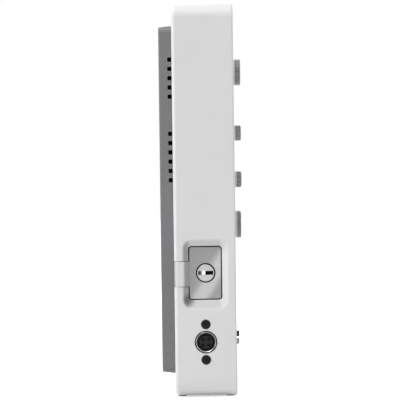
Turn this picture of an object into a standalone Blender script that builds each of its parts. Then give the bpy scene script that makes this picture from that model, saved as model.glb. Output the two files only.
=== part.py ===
"""Slim battery-powered bench oscilloscope, modelled as its separate pieces.

Metres, +Z up. The screen and the controls face -Y, the grey cover faces +Y, and the
inputs are on the +X side. The origin is under the middle of the object, on the table.
Each object is one piece, and a piece that moves has its origin on its joint's axis.
"""

import math

import bmesh
import bpy
from mathutils import Matrix

# ---------------------------------------------------------------- general fits
CLEARANCE = 0.0003  # between pieces that lie against each other
RUNNING_FIT = 0.00015  # radial, a shaft in its hole
OVERLAP = 0.0005  # how far a joined shape or a cutter reaches into its neighbour
TINY = 1e-6
ROUND_STEPS = 16  # facets of a turned piece
PIN_STEPS = 12  # facets of a pin, a screw or a post

# ---------------------------------------------------------------- white shell
SHELL_WALL = 0.0022
SHELL_CORNER = 0.008  # corner radius, seen from the front
REAR_EDGE = 0.002  # rounding of the rear edges, and radius of the hatch's knuckle
FRONT_EDGE = 0.001
LEDGE_WIDTH = 0.0018  # step inside the walls that the front panel sits on
LEDGE_THICKNESS = 0.002
FOOT_HEIGHT = 0.00085
FOOT_WIDTH = 0.0048
FOOT_SETBACK = 0.0012  # from the front and rear faces
FOOT_END = 0.012  # from the sides

# ---------------------------------------------------------------- grey rear cover
COVER_DEPTH = 0.0072
COVER_RISE = 0.0113  # above the shell's underside
COVER_DROP = 0.0108  # below the shell's top
COVER_INSET = 0.014  # from the shell's sides
COVER_DRAFT = 0.0007  # how much smaller the back is on each side
COVER_WALL = 0.002
COVER_CORNER = 0.004
COVER_EDGE = 0.0008
COVER_LAND = 0.008  # width of the shell's rear wall that the cover lies on
VENT_PITCH = 0.00503
VENT_HEIGHT = 0.0024
VENT_REACH = 0.0026  # how far a side slot comes up the cover's wall
VENT_CORNER = 0.0006
VENT_DROP = 0.01855  # top slot below the cover's top
VENT_SLOTS = (0, 1, 2, 3, 4, 8, 9, 10, 11, 12, 13)  # three are left out at a rib

# ---------------------------------------------------------------- front panel, screen
PANEL_THICKNESS = 0.0024
SCREEN_WIDTH = 0.217  # lit area of a 10.1 inch screen
SCREEN_HEIGHT = 0.1356
SCREEN_MARGIN = 0.0012  # between the lit area and the panel's window
SCREEN_SIDE = 0.0095  # black border beside the lit area
SCREEN_BAND = 0.0182  # black border above and below it
GLASS_THICKNESS = 0.0011
GLASS_CORNER = 0.004
GLASS_LEFT = 0.010  # from the shell's left side
GLASS_RISE = 0.0224  # above the shell's underside
GLASS_DROP = 0.0165  # below the shell's top
LCD_LIP = 0.004
LCD_THICKNESS = 0.004

# ---------------------------------------------------------------- controls
COLUMN_GAP = 0.036  # between the two columns of knobs
TOP_ROW_DROP = 0.0215  # top knob below the shell's top
TRIGGER_ROW_DROP = 0.0402  # each row of knobs below the one above it
POSITION_ROW_DROP = 0.0308
SCALE_ROW_DROP = 0.0293
LARGE_KNOB_RADIUS = 0.0086
LARGE_KNOB_REACH = 0.0076
LARGE_SPINDLE_RADIUS = 0.003
SMALL_KNOB_RADIUS = 0.00505
SMALL_KNOB_REACH = 0.0082
UPPER_KNOB_REACH = 0.0088  # knobs of the two upper rows
SMALL_SPINDLE_RADIUS = 0.002
KNOB_TIP_WALL = 0.0018
KNOB_EDGE = 0.001
KNOB_TRAVEL = 0.0005
SPINDLE_FLAT = 0.3  # share of the radius cut off by the flat
ENCODER_SIDE = 0.012
ENCODER_HEIGHT = 0.006
ENCODER_GAP = 0.0016  # behind the front panel
BUSHING_WALL = 0.0012
BUSHING_SETBACK = 0.001  # behind the panel's face
SPINDLE_SEAT = 0.004  # length of spindle inside the encoder
KEY_WIDTH = 0.013
KEY_HEIGHT = 0.007
KEY_SPACE = 0.0047  # between keys in a row
KEY_ROW_SPACE = 0.0035  # between the run and single keys
KEYS_LEFT = 0.00795  # between the glass and the keys
KEYS_RIGHT = 0.01195  # between the keys and the shell's right side
KEY_CORNER = 0.0012
KEY_PROUD = 0.0009
KEY_GAP = 0.0003
KEY_FLANGE = 0.0008
KEY_TRAVEL = 0.0006
STEM_INSET = 0.0015
RUN_KEY_WIDTH = 0.024
TOOL_ROW_DROP = 0.020  # tool keys below the top knob
CHANNEL_ROW_DROP = 0.024  # channel keys below the scale knobs
MATH_ROW_DROP = 0.0135  # maths keys below the channel keys
POWER_RADIUS = 0.0046
POWER_PROUD = 0.0012
POWER_RISE = 0.0225
TERMINAL_REACH = 0.0062
TERMINAL_WIDTH = 0.006
TERMINAL_HEIGHT = 0.0036
TERMINAL_SPACE = 0.0014
TERMINAL_RISE = 0.0161  # upper terminal above the shell's underside
TERMINAL_INSET = 0.019
TERMINAL_HOLE = 0.001

# ---------------------------------------------------------------- inside
POST_RADIUS = 0.0024  # panel posts that carry the control board
CONTROL_SIDE_GAP = 0.0025  # control board to the ledge
CONTROL_LOW_GAP = 0.003
CONTROL_HIGH_GAP = 0.0015
BOARD_THICKNESS = 0.0016
MAT_THICKNESS = 0.0008
FRAME_THICKNESS = 0.001
STANDOFF_RADIUS = 0.003
MAIN_BOARD_GAP = 0.0053  # to the battery bay
MAIN_BOARD_MARGIN = 0.01105  # to the shell's walls, above and below
CHIP_SIDE = 0.030
CHIP_HEIGHT = 0.0015
FAN_SIDE = 0.050
FAN_DEPTH = 0.010
FAN_BORE = 0.0238
FAN_HUB = 0.011
FAN_PIN = 0.0015
FAN_PLATE = 0.001  # thickness of the hub plate and its arms
FAN_ARM_WIDTH = 0.002
FAN_BLADES = 7
BLADE_TURN = 35  # degrees
BLADE_CHORD = 0.86  # of the hub's length
BLADE_THICKNESS = 0.001
FAN_LEFT = 0.105  # fan's centre from the shell's right side
FAN_DROP = 0.060  # fan's centre from the shell's top
FIN_COUNT = 9
FIN_THICKNESS = 0.0015
SINK_BASE = 0.002
SINK_GAP = 0.0008  # to the fan
SHIELD_WIDTH = 0.044
SHIELD_MARGIN = 0.0125  # beyond the outer inputs
SHIELD_DEPTH = 0.0052
SHIELD_WALL = 0.0007

# ---------------------------------------------------------------- hatch and battery
HATCH_INLET_GAP = 0.0022  # between the hatch's block and the power inlet
HATCH_HEIGHT = 0.0282
HATCH_FRONT = 0.0076  # from the shell's front face
HATCH_REAR = 0.0082  # from the shell's rear face
HATCH_CORNER = 0.0012
HATCH_THICKNESS = 0.0018
HATCH_GAP = 0.0005
HATCH_LIP = 0.0012
TAB_HEIGHT = 0.013
TAB_SLOPE = 0.0048  # where the tab starts to slope, from the rear face
POCKET_DEPTH = 0.0023
POCKET_FRONT = 0.0026  # widths of the pocket's slopes
POCKET_REAR = 0.0029
POCKET_TOP = 0.0031
POCKET_BOTTOM = 0.005
BLOCK_WALL = 0.0015  # behind the hatch's seat
BLOCK_MARGIN = 0.0085
KNUCKLE_GAP = 0.0004
HINGE_PIN_RADIUS = 0.00075
HINGE_PIN_GRIP = 0.004  # length held above and below the tab
LOCK_RADIUS = 0.0046
LOCK_RING = 0.0007  # open ring around the head
LOCK_LIP = 0.001  # how far the flange behind the door goes past the ring
LOCK_FLANGE = 0.0008
LOCK_MARGIN = 0.0012  # between the flange and the bay's mouth
LOCK_HUB_RADIUS = 0.003
LOCK_SLOT = 0.0021
LOCK_SLOT_DEPTH = 0.0014
CAM_CATCH = 0.0021  # how far the cam goes behind the mouth's lip
CAM_THICKNESS = 0.0019
BAY_LENGTH = 0.118
BAY_WALL = 0.0012

# ---------------------------------------------------------------- power inlet
INLET_RISE = 0.0289
INLET_RADIUS = 0.0058
INLET_WALL = 0.001
INLET_DEPTH = 0.009
INLET_BACK = 0.002
INLET_PROUD = 0.0003
INLET_FLANGE = 0.0018
INLET_INSERT_RADIUS = 0.0045
INLET_INSERT_SETBACK = 0.0008
CONTACT_RADIUS = 0.0009
CONTACT_SPACING = 0.0032
CONTACT_DEPTH = 0.003
SCREW_SPACING = 0.019
SCREW_HEAD_RADIUS = 0.00235
SCREW_HEAD_PROUD = 0.0005
SCREW_SEAT_DEPTH = 0.001
SCREW_RADIUS = 0.0014
SCREW_LENGTH = 0.0062

# ---------------------------------------------------------------- inputs and ports
BNC_REACH = 0.012
BNC_DEPTH = 0.018  # axis behind the front face
BNC_PITCH = 0.024
BNC_DROP = 0.026  # first input below the shell's top
BNC_RADIUS = 0.00485
BNC_THREAD_RADIUS = 0.0046
BNC_NUT_RADIUS = 0.0072
BNC_NUT_THICKNESS = 0.0025
BNC_BODY_RADIUS = 0.0058
BNC_BODY_LENGTH = 0.0112
BNC_BORE_RADIUS = 0.00405
BNC_BORE_DEPTH = 0.008
BNC_CORE_RADIUS = 0.0024
BNC_CORE_SETBACK = 0.003
BNC_CONTACT_RADIUS = 0.0008
BNC_LUG_RADIUS = 0.001
BNC_LUG_REACH = 0.0009
BNC_LUG_SETBACK = 0.0045
PORT_REAR_GAP = 0.0007  # between the network socket and the shell's rear wall
LAN_RISE = 0.0745
LAN_WIDTH = 0.016  # along Z
LAN_THICKNESS = 0.0134  # along Y
LAN_LENGTH = 0.020
LAN_HOLE = (0.0118, 0.0078, 0.0135)  # Z, Y and depth of the socket
USB_RISE = 0.0485
USB_WIDTH = 0.0132
USB_THICKNESS = 0.0058
USB_LENGTH = 0.016
USB_WALL = 0.0004
USB_HOLE_DEPTH = 0.012
USB_TONGUE = 0.0018

# ---------------------------------------------------------------- kickstand
STAND_WIDTH = 0.150
STAND_LENGTH = 0.086
STAND_THICKNESS = 0.0032
STAND_BARREL = 0.0018
STAND_MARGIN = 0.0019  # between the tray and the inside of the cover's lower wall
STAND_ROD_RADIUS = 0.0012
STAND_ROD_GRIP = 0.005
STAND_WINDOW = (0.090, 0.052)
STAND_WINDOW_DROP = 0.014
STAND_CORNER = 0.003
TRAY_WALL = 0.0015

# ---------------------------------------------------------------- where things are
GLASS_WIDTH = SCREEN_WIDTH + 2 * SCREEN_SIDE
GLASS_HEIGHT = SCREEN_HEIGHT + 2 * SCREEN_BAND
KEY_PITCH = KEY_WIDTH + KEY_SPACE
KEYS_WIDTH = 3 * KEY_PITCH + KEY_WIDTH
LOCK_FLANGE_RADIUS = LOCK_RADIUS + LOCK_RING + LOCK_LIP
HATCH_DEPTH = 2 * (LOCK_FLANGE_RADIUS + LOCK_MARGIN + HATCH_LIP)
CAM_LENGTH = HATCH_DEPTH / 2 - HATCH_LIP + CAM_CATCH
SHELL_WIDTH = GLASS_LEFT + GLASS_WIDTH + KEYS_LEFT + KEYS_WIDTH + KEYS_RIGHT
SHELL_HEIGHT = GLASS_RISE + GLASS_HEIGHT + GLASS_DROP
SHELL_DEPTH = HATCH_FRONT + HATCH_DEPTH + HATCH_REAR
KNOB_REACH = max(LARGE_KNOB_REACH, SMALL_KNOB_REACH, UPPER_KNOB_REACH)

LEFT = SCREW_HEAD_PROUD - (SHELL_WIDTH + BNC_REACH + SCREW_HEAD_PROUD) / 2
RIGHT = LEFT + SHELL_WIDTH
MIDDLE_X = (LEFT + RIGHT) / 2
FRONT = (KNOB_REACH - SHELL_DEPTH - COVER_DEPTH) / 2
REAR = FRONT + SHELL_DEPTH
BACK = REAR + COVER_DEPTH
BOTTOM = FOOT_HEIGHT
TOP = BOTTOM + SHELL_HEIGHT

PANEL_BACK = FRONT + PANEL_THICKNESS
LEDGE_FRONT = PANEL_BACK + CLEARANCE
LEDGE_BACK = LEDGE_FRONT + LEDGE_THICKNESS
LEDGE_INSET = SHELL_WALL + LEDGE_WIDTH
LCD_FRONT = PANEL_BACK + CLEARANCE
LCD_BACK = LCD_FRONT + LCD_THICKNESS
FRAME_FRONT = LCD_BACK + CLEARANCE
FRAME_BACK = FRAME_FRONT + FRAME_THICKNESS
MAIN_BACK = REAR - SHELL_WALL - PORT_REAR_GAP - LAN_THICKNESS - CLEARANCE
MAIN_FRONT = MAIN_BACK - BOARD_THICKNESS
CONTROL_FRONT = PANEL_BACK + ENCODER_GAP + ENCODER_HEIGHT
CONTROL_BACK = CONTROL_FRONT + BOARD_THICKNESS
MAT_BACK = CONTROL_FRONT - CLEARANCE
MAT_FRONT = MAT_BACK - MAT_THICKNESS
KEY_FLANGE_FRONT = PANEL_BACK + CLEARANCE
KEY_BACK = KEY_FLANGE_FRONT + KEY_FLANGE
STEM_TIP = KEY_BACK + KEY_TRAVEL + CLEARANCE
ENCODER_FRONT = CONTROL_FRONT - ENCODER_HEIGHT

GLASS_X = LEFT + GLASS_LEFT + GLASS_WIDTH / 2
GLASS_Z = BOTTOM + GLASS_RISE + GLASS_HEIGHT / 2
CONTROL_X = RIGHT - KEYS_RIGHT - KEYS_WIDTH / 2
COLUMN_LEFT = CONTROL_X - COLUMN_GAP / 2
COLUMN_RIGHT = CONTROL_X + COLUMN_GAP / 2
TOP_ROW = TOP - TOP_ROW_DROP
TRIGGER_ROW = TOP_ROW - TRIGGER_ROW_DROP
POSITION_ROW = TRIGGER_ROW - POSITION_ROW_DROP
SCALE_ROW = POSITION_ROW - SCALE_ROW_DROP
CONTROL_WIDTH = 2 * (RIGHT - LEDGE_INSET - CONTROL_SIDE_GAP - CONTROL_X)
CONTROL_LOW = BOTTOM + LEDGE_INSET + CONTROL_LOW_GAP
CONTROL_HIGH = TOP - LEDGE_INSET - CONTROL_HIGH_GAP

COVER_LEFT = LEFT + COVER_INSET
COVER_RIGHT = RIGHT - COVER_INSET
COVER_LOW = BOTTOM + COVER_RISE
COVER_HIGH = TOP - COVER_DROP

INLET_Z = BOTTOM + INLET_RISE
INLET_Y = (FRONT + REAR) / 2
INLET_HALF = SCREW_SPACING / 2 + 2 * SCREW_RADIUS
HATCH_Z = INLET_Z + INLET_HALF + HATCH_INLET_GAP + BLOCK_MARGIN + HATCH_HEIGHT / 2
HATCH_LOW = HATCH_Z - HATCH_HEIGHT / 2
HATCH_HIGH = HATCH_Z + HATCH_HEIGHT / 2
HATCH_Y0 = FRONT + HATCH_FRONT
HATCH_Y1 = REAR - HATCH_REAR
HATCH_Y = (HATCH_Y0 + HATCH_Y1) / 2
HATCH_FACE = LEFT + POCKET_DEPTH
HATCH_INNER = HATCH_FACE + HATCH_THICKNESS
HATCH_SEAT = HATCH_INNER + CLEARANCE
BLOCK_BACK = HATCH_SEAT + BLOCK_WALL
HINGE_X = LEFT + REAR_EDGE
HINGE_Y = REAR - REAR_EDGE
CHANNEL_FLOOR = max(HATCH_SEAT, HINGE_X + REAR_EDGE + KNUCKLE_GAP)
CAM_FRONT = BLOCK_BACK + CLEARANCE
CAM_BACK = CAM_FRONT + CAM_THICKNESS
BAY_X0 = CAM_BACK + 2 * CLEARANCE
BAY_X1 = BAY_X0 + BAY_LENGTH
BAY_Y0 = FRAME_BACK + CLEARANCE
BAY_Y1 = HATCH_Y1
MAIN_RIGHT = RIGHT - SHELL_WALL - CLEARANCE - BNC_BODY_LENGTH - CLEARANCE
MAIN_LEFT = BAY_X1 + MAIN_BOARD_GAP
MAIN_LOW = BOTTOM + SHELL_WALL + MAIN_BOARD_MARGIN
MAIN_HIGH = TOP - SHELL_WALL - MAIN_BOARD_MARGIN
FAN_X = RIGHT - FAN_LEFT
FAN_Z = TOP - FAN_DROP
FAN_BACK = BACK - COVER_WALL - CLEARANCE
FAN_FRONT = FAN_BACK - FAN_DEPTH
TRAY_GAP = 2 * CLEARANCE
STAND_LOW = COVER_LOW + COVER_WALL + STAND_MARGIN + TRAY_WALL + TRAY_GAP
STAND_Z = STAND_LOW + STAND_LENGTH
STAND_Y = BACK - STAND_BARREL
TRAY_FLOOR = STAND_Y - STAND_BARREL - CLEARANCE

KNOBS = {  # name: (x, z, large, reach)
    "multipurpose": (COLUMN_RIGHT, TOP_ROW, True, UPPER_KNOB_REACH),
    "trigger_level": (COLUMN_RIGHT, TRIGGER_ROW, False, UPPER_KNOB_REACH),
    "vertical_position": (COLUMN_LEFT, POSITION_ROW, False, SMALL_KNOB_REACH),
    "horizontal_position": (COLUMN_RIGHT, POSITION_ROW, False, SMALL_KNOB_REACH),
    "vertical_scale": (COLUMN_LEFT, SCALE_ROW, True, LARGE_KNOB_REACH),
    "horizontal_scale": (COLUMN_RIGHT, SCALE_ROW, True, LARGE_KNOB_REACH),
}


# ================================================================ small tools
def colour_material(name, rgb, roughness, metallic=0.0):
    """A plain Principled material."""
    material = bpy.data.materials.new(name)
    material.use_nodes = True
    shader = material.node_tree.nodes["Principled BSDF"]
    shader.inputs["Base Color"].default_value = (*rgb, 1.0)
    shader.inputs["Roughness"].default_value = roughness
    shader.inputs["Metallic"].default_value = metallic
    material.diffuse_color = (*rgb, 1.0)
    return material


def make_object(name, shape, material=None, pivot=(0.0, 0.0, 0.0)):
    """Turn a bmesh into a linked object whose origin is at pivot."""
    bmesh.ops.recalc_face_normals(shape, faces=shape.faces)
    bmesh.ops.translate(shape, vec=[-value for value in pivot], verts=shape.verts)
    mesh = bpy.data.meshes.new(name)
    shape.to_mesh(mesh)
    shape.free()
    mesh.shade_smooth()
    mesh.set_sharp_from_angle(angle=math.radians(35))
    if material is not None:
        mesh.materials.append(material)
    made = bpy.data.objects.new(name, mesh)
    made.location = pivot
    bpy.context.scene.collection.objects.link(made)
    return made


def merged(*shapes):
    """One bmesh that holds several closed shapes."""
    whole = bmesh.new()
    for shape in shapes:
        mesh = bpy.data.meshes.new("merged")
        bmesh.ops.recalc_face_normals(shape, faces=shape.faces)
        shape.to_mesh(mesh)
        shape.free()
        whole.from_mesh(mesh)
        bpy.data.meshes.remove(mesh)
    return whole


def slab(low, high, axis="Y", corner=0.0, steps=4):
    """A box between two corners, with its four edges along axis rounded."""
    shape = bmesh.new()
    bmesh.ops.create_cube(shape, size=1.0)
    bmesh.ops.scale(shape, vec=[b - a for a, b in zip(low, high)], verts=shape.verts)
    bmesh.ops.translate(shape, vec=[(a + b) / 2 for a, b in zip(low, high)], verts=shape.verts)
    if corner > 0:
        index = "XYZ".index(axis)
        along = [e for e in shape.edges if abs((e.verts[0].co - e.verts[1].co)[index]) > TINY]
        round_edges(shape, along, corner, steps)
    return shape


def round_edges(shape, edges, radius, steps):
    """Round the given edges."""
    bmesh.ops.bevel(shape, geom=edges, offset=radius, offset_type="OFFSET", segments=steps,
                    profile=0.5, affect="EDGES", clamp_overlap=True, material=-1)


def rim_edges(shape, axis, place):
    """The edges that lie in the plane where axis has the value place."""
    index = "XYZ".index(axis)
    return [e for e in shape.edges if all(abs(v.co[index] - place) < TINY for v in e.verts)]


def prism(outline, axis, start, end):
    """Extrude an outline, given in the two other axes in order, from start to end."""
    index = "XYZ".index(axis)
    others = [i for i in range(3) if i != index]
    shape = bmesh.new()
    corners = []
    for pair in outline:
        point = [start, start, start]
        point[others[0]], point[others[1]] = pair
        corners.append(shape.verts.new(point))
    face = shape.faces.new(corners)
    grown = bmesh.ops.extrude_face_region(shape, geom=[face])
    moved = [item for item in grown["geom"] if isinstance(item, bmesh.types.BMVert)]
    step = [0.0, 0.0, 0.0]
    step[index] = end - start
    bmesh.ops.translate(shape, vec=step, verts=moved)
    return shape


def arc(centre, radius, first, last, steps=8):
    """Points of an arc, angles in degrees from the first axis of its plane."""
    angles = [math.radians(first + (last - first) * i / steps) for i in range(steps + 1)]
    return [(centre[0] + radius * math.cos(a), centre[1] + radius * math.sin(a)) for a in angles]


def turned(profile, centre, axis, steps=ROUND_STEPS, ring=False):
    """Spin a profile of (place along axis, radius) points about a line through centre.

    The profile runs from one end to the other. With ring, its ends are joined instead of
    closing on the axis.
    """
    index = "XYZ".index(axis)
    side = (index + 1) % 3
    shape = bmesh.new()
    points = []
    for along, radius in profile:
        point = list(centre)
        point[index] = along
        point[side] += radius
        points.append(shape.verts.new(point))
    edges = [shape.edges.new(pair) for pair in zip(points, points[1:])]
    if ring:
        edges.append(shape.edges.new((points[-1], points[0])))
    turn = [0.0, 0.0, 0.0]
    turn[index] = 1.0
    bmesh.ops.spin(shape, geom=points + edges, cent=centre, axis=turn, dvec=(0, 0, 0),
                   angle=2 * math.pi, steps=steps, use_merge=True, use_normal_flip=False,
                   use_duplicate=False)
    bmesh.ops.remove_doubles(shape, verts=shape.verts, dist=TINY)
    return shape


def rod(start, end, radius, centre, axis, steps=ROUND_STEPS):
    """A plain cylinder along axis, from start to end."""
    return turned([(start, 0.0), (start, radius), (end, radius), (end, 0.0)], centre, axis, steps)


def change(target, operation, shape, label):
    """Cut a shape out of target, or join it to target, with a live Boolean."""
    tool = make_object(f"{target.name}_{label}", shape)
    tool.hide_render = True
    tool.display_type = "WIRE"
    modifier = target.modifiers.new(label, "BOOLEAN")
    modifier.operation = operation
    modifier.solver = "EXACT"
    modifier.object = tool


def cut(target, label, *shapes):
    """Cut shapes that don't touch each other out of target."""
    change(target, "DIFFERENCE", merged(*shapes), label)


def join(target, label, *shapes):
    """Join shapes that don't touch each other to target."""
    change(target, "UNION", merged(*shapes), label)


# ================================================================ where controls sit
def knob_table():
    """Name, x, z and sizes of each knob."""
    rows = []
    for name, (x, z, large, reach) in KNOBS.items():
        rows.append({
            "name": name,
            "x": x,
            "z": z,
            "radius": LARGE_KNOB_RADIUS if large else SMALL_KNOB_RADIUS,
            "reach": reach,
            "spindle": LARGE_SPINDLE_RADIUS if large else SMALL_SPINDLE_RADIUS,
        })
    return rows


def key_table():
    """Name, x, z, width and height of each rectangular key."""
    columns = [CONTROL_X + (i - 1.5) * KEY_PITCH for i in range(4)]
    run_step = KEY_HEIGHT + KEY_ROW_SPACE
    run_z = TOP_ROW + run_step / 2
    tool_z = TOP_ROW - TOOL_ROW_DROP
    channel_z = SCALE_ROW - CHANNEL_ROW_DROP
    math_z = channel_z - MATH_ROW_DROP
    wide = KEY_WIDTH + KEY_PITCH
    keys = [
        ("key_run_stop", COLUMN_LEFT, run_z, RUN_KEY_WIDTH),
        ("key_single", COLUMN_LEFT, run_z - run_step, RUN_KEY_WIDTH),
        ("key_trigger_mode", COLUMN_LEFT, TRIGGER_ROW, RUN_KEY_WIDTH),
        ("key_maths", (columns[0] + columns[1]) / 2, math_z, wide),
        ("key_bus", (columns[2] + columns[3]) / 2, math_z, wide),
    ]
    for name, x in zip(("autoset", "save", "zoom", "lock"), columns):
        keys.append((f"key_{name}", x, tool_z, KEY_WIDTH))
    for number, x in enumerate(columns, 1):
        keys.append((f"key_channel_{number}", x, channel_z, KEY_WIDTH))
    return [(name, x, z, width, KEY_HEIGHT) for name, x, z, width in keys]


def power_place():
    """x and z of the power button."""
    return CONTROL_X - 1.5 * KEY_PITCH, BOTTOM + POWER_RISE


def terminal_table():
    """Name and z of the two test terminals."""
    high = BOTTOM + TERMINAL_RISE
    return [("signal_terminal", high), ("ground_terminal", high - TERMINAL_HEIGHT - TERMINAL_SPACE)]


def post_places():
    """x and z of the panel posts that carry the control board."""
    reach = CONTROL_WIDTH / 2 - POST_RADIUS - CLEARANCE
    lows = (CONTROL_LOW + POST_RADIUS, CONTROL_HIGH - POST_RADIUS)
    return [(CONTROL_X + side * reach, z) for side in (-1, 1) for z in lows]


def bnc_heights():
    """Height of each input, from the top down."""
    return [TOP - BNC_DROP - i * BNC_PITCH for i in range(4)]


def rectangle(x, z, width, height, y0, y1, corner=0.0, steps=2):
    """A slab centred at x and z, between two depths."""
    low = (x - width / 2, y0, z - height / 2)
    high = (x + width / 2, y1, z + height / 2)
    return slab(low, high, "Y", corner, steps)


# ================================================================ white shell
def shell_slab(inset, y0, y1):
    """A slab with the shell's outline, made smaller by inset all round."""
    low = (LEFT + inset, y0, BOTTOM + inset)
    high = (RIGHT - inset, y1, TOP - inset)
    return slab(low, high, "Y", max(SHELL_CORNER - inset, CLEARANCE), 5)


def pocket_cutter():
    """The sloping recess round the hatch, wider at the surface than at its floor."""
    low = (LEFT - OVERLAP, HATCH_Y0 - HATCH_GAP, HATCH_LOW - HATCH_GAP)
    high = (HATCH_FACE, HATCH_Y1 + HATCH_GAP, HATCH_HIGH + HATCH_GAP)
    shape = slab(low, high, "X", HATCH_CORNER + HATCH_GAP, 4)
    grow = (POCKET_DEPTH + OVERLAP) / POCKET_DEPTH
    for vertex in shape.verts:
        if vertex.co.x < LEFT:
            vertex.co.y += grow * (-POCKET_FRONT if vertex.co.y < HATCH_Y else POCKET_REAR)
            vertex.co.z += grow * (-POCKET_BOTTOM if vertex.co.z < HATCH_Z else POCKET_TOP)
    return shape


def main_housing(material):
    """White shell: side walls, rear wall, front ledge and the block that holds the hatch."""
    shape = shell_slab(0.0, FRONT, REAR)
    round_edges(shape, rim_edges(shape, "Y", REAR), REAR_EDGE, 3)
    round_edges(shape, rim_edges(shape, "Y", FRONT), FRONT_EDGE, 2)
    shell = make_object("main_housing", shape, material)
    cut(shell, "panel_seat", shell_slab(SHELL_WALL, FRONT - OVERLAP, LEDGE_FRONT))
    cut(shell, "ledge_opening", shell_slab(LEDGE_INSET, LEDGE_FRONT - OVERLAP, LEDGE_BACK + OVERLAP))
    cut(shell, "cavity", shell_slab(SHELL_WALL, LEDGE_BACK, REAR - SHELL_WALL))
    cut(shell, "rear_opening", slab(
        (COVER_LEFT + COVER_LAND, REAR - SHELL_WALL - OVERLAP, COVER_LOW + COVER_LAND),
        (COVER_RIGHT - COVER_LAND, REAR + OVERLAP, COVER_HIGH - COVER_LAND), "Y", COVER_CORNER))
    join(shell, "hatch_block", slab(
        (LEFT + SHELL_WALL / 2, HATCH_Y0 - HATCH_LIP, HATCH_LOW - BLOCK_MARGIN),
        (BLOCK_BACK, REAR - SHELL_WALL / 2, HATCH_HIGH + BLOCK_MARGIN)))
    cut(shell, "pocket", pocket_cutter())
    cut(shell, "hatch_seat", slab(
        (HATCH_FACE - OVERLAP, HATCH_Y0 - HATCH_GAP, HATCH_LOW - HATCH_GAP),
        (HATCH_SEAT, HATCH_Y1 + HATCH_GAP, HATCH_HIGH + HATCH_GAP), "X", HATCH_CORNER + HATCH_GAP))
    cut(shell, "bay_mouth", slab(
        (HATCH_SEAT - OVERLAP, HATCH_Y0 + HATCH_LIP, HATCH_LOW + HATCH_LIP),
        (BLOCK_BACK + OVERLAP, HATCH_Y1 - HATCH_LIP, HATCH_HIGH - HATCH_LIP)))
    cut(shell, "tab_channel", slab(
        (LEFT - OVERLAP, HATCH_Y1 - HATCH_LIP / 2, HATCH_Z - TAB_HEIGHT / 2 - CLEARANCE),
        (CHANNEL_FLOOR, REAR + OVERLAP, HATCH_Z + TAB_HEIGHT / 2 + CLEARANCE)))
    reach = TAB_HEIGHT / 2 + HINGE_PIN_GRIP + CLEARANCE
    cut(shell, "pin_hole", rod(HATCH_Z - reach, HATCH_Z + reach, HINGE_PIN_RADIUS + RUNNING_FIT,
                               (HINGE_X, HINGE_Y, 0.0), "Z", PIN_STEPS))
    side_holes(shell)
    return shell


def side_holes(shell):
    """Holes in the two side walls for the inlet, its screws, the inputs and the ports."""
    outside, inside = LEFT - OVERLAP, LEFT + SHELL_WALL + OVERLAP
    axis_point = (0.0, INLET_Y, INLET_Z)
    holes = [rod(outside, inside, INLET_RADIUS + CLEARANCE, axis_point, "X")]
    seats = []
    for z in screw_heights():
        holes.append(rod(outside, inside, SCREW_RADIUS + CLEARANCE, (0.0, INLET_Y, z), "X", PIN_STEPS))
        seats.append(rod(outside, LEFT + SCREW_SEAT_DEPTH, SCREW_HEAD_RADIUS + CLEARANCE,
                         (0.0, INLET_Y, z), "X"))
    near, far = RIGHT - SHELL_WALL - OVERLAP, RIGHT + OVERLAP
    for z in bnc_heights():
        holes.append(rod(near, far, BNC_THREAD_RADIUS + CLEARANCE, (0.0, FRONT + BNC_DEPTH, z), "X"))
    for rise, width, thickness in ((LAN_RISE, LAN_WIDTH, LAN_THICKNESS),
                                   (USB_RISE, USB_WIDTH, USB_THICKNESS)):
        y0 = MAIN_BACK + CLEARANCE
        holes.append(slab(
            (near, y0 - CLEARANCE, BOTTOM + rise - width / 2 - CLEARANCE),
            (far, y0 + thickness + CLEARANCE, BOTTOM + rise + width / 2 + CLEARANCE)))
    cut(shell, "side_holes", *holes)
    cut(shell, "screw_seats", *seats)


def foot_strips(material):
    """Two rubber strips under the shell."""
    for name, y0 in (("foot_strip_front", FRONT + FOOT_SETBACK),
                     ("foot_strip_rear", REAR - FOOT_SETBACK - FOOT_WIDTH)):
        low = (LEFT + FOOT_END, y0, 0.0)
        high = (RIGHT - FOOT_END, y0 + FOOT_WIDTH, FOOT_HEIGHT - CLEARANCE)
        make_object(name, slab(low, high, "Z", FOOT_WIDTH * 0.45, 4), material)


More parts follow.
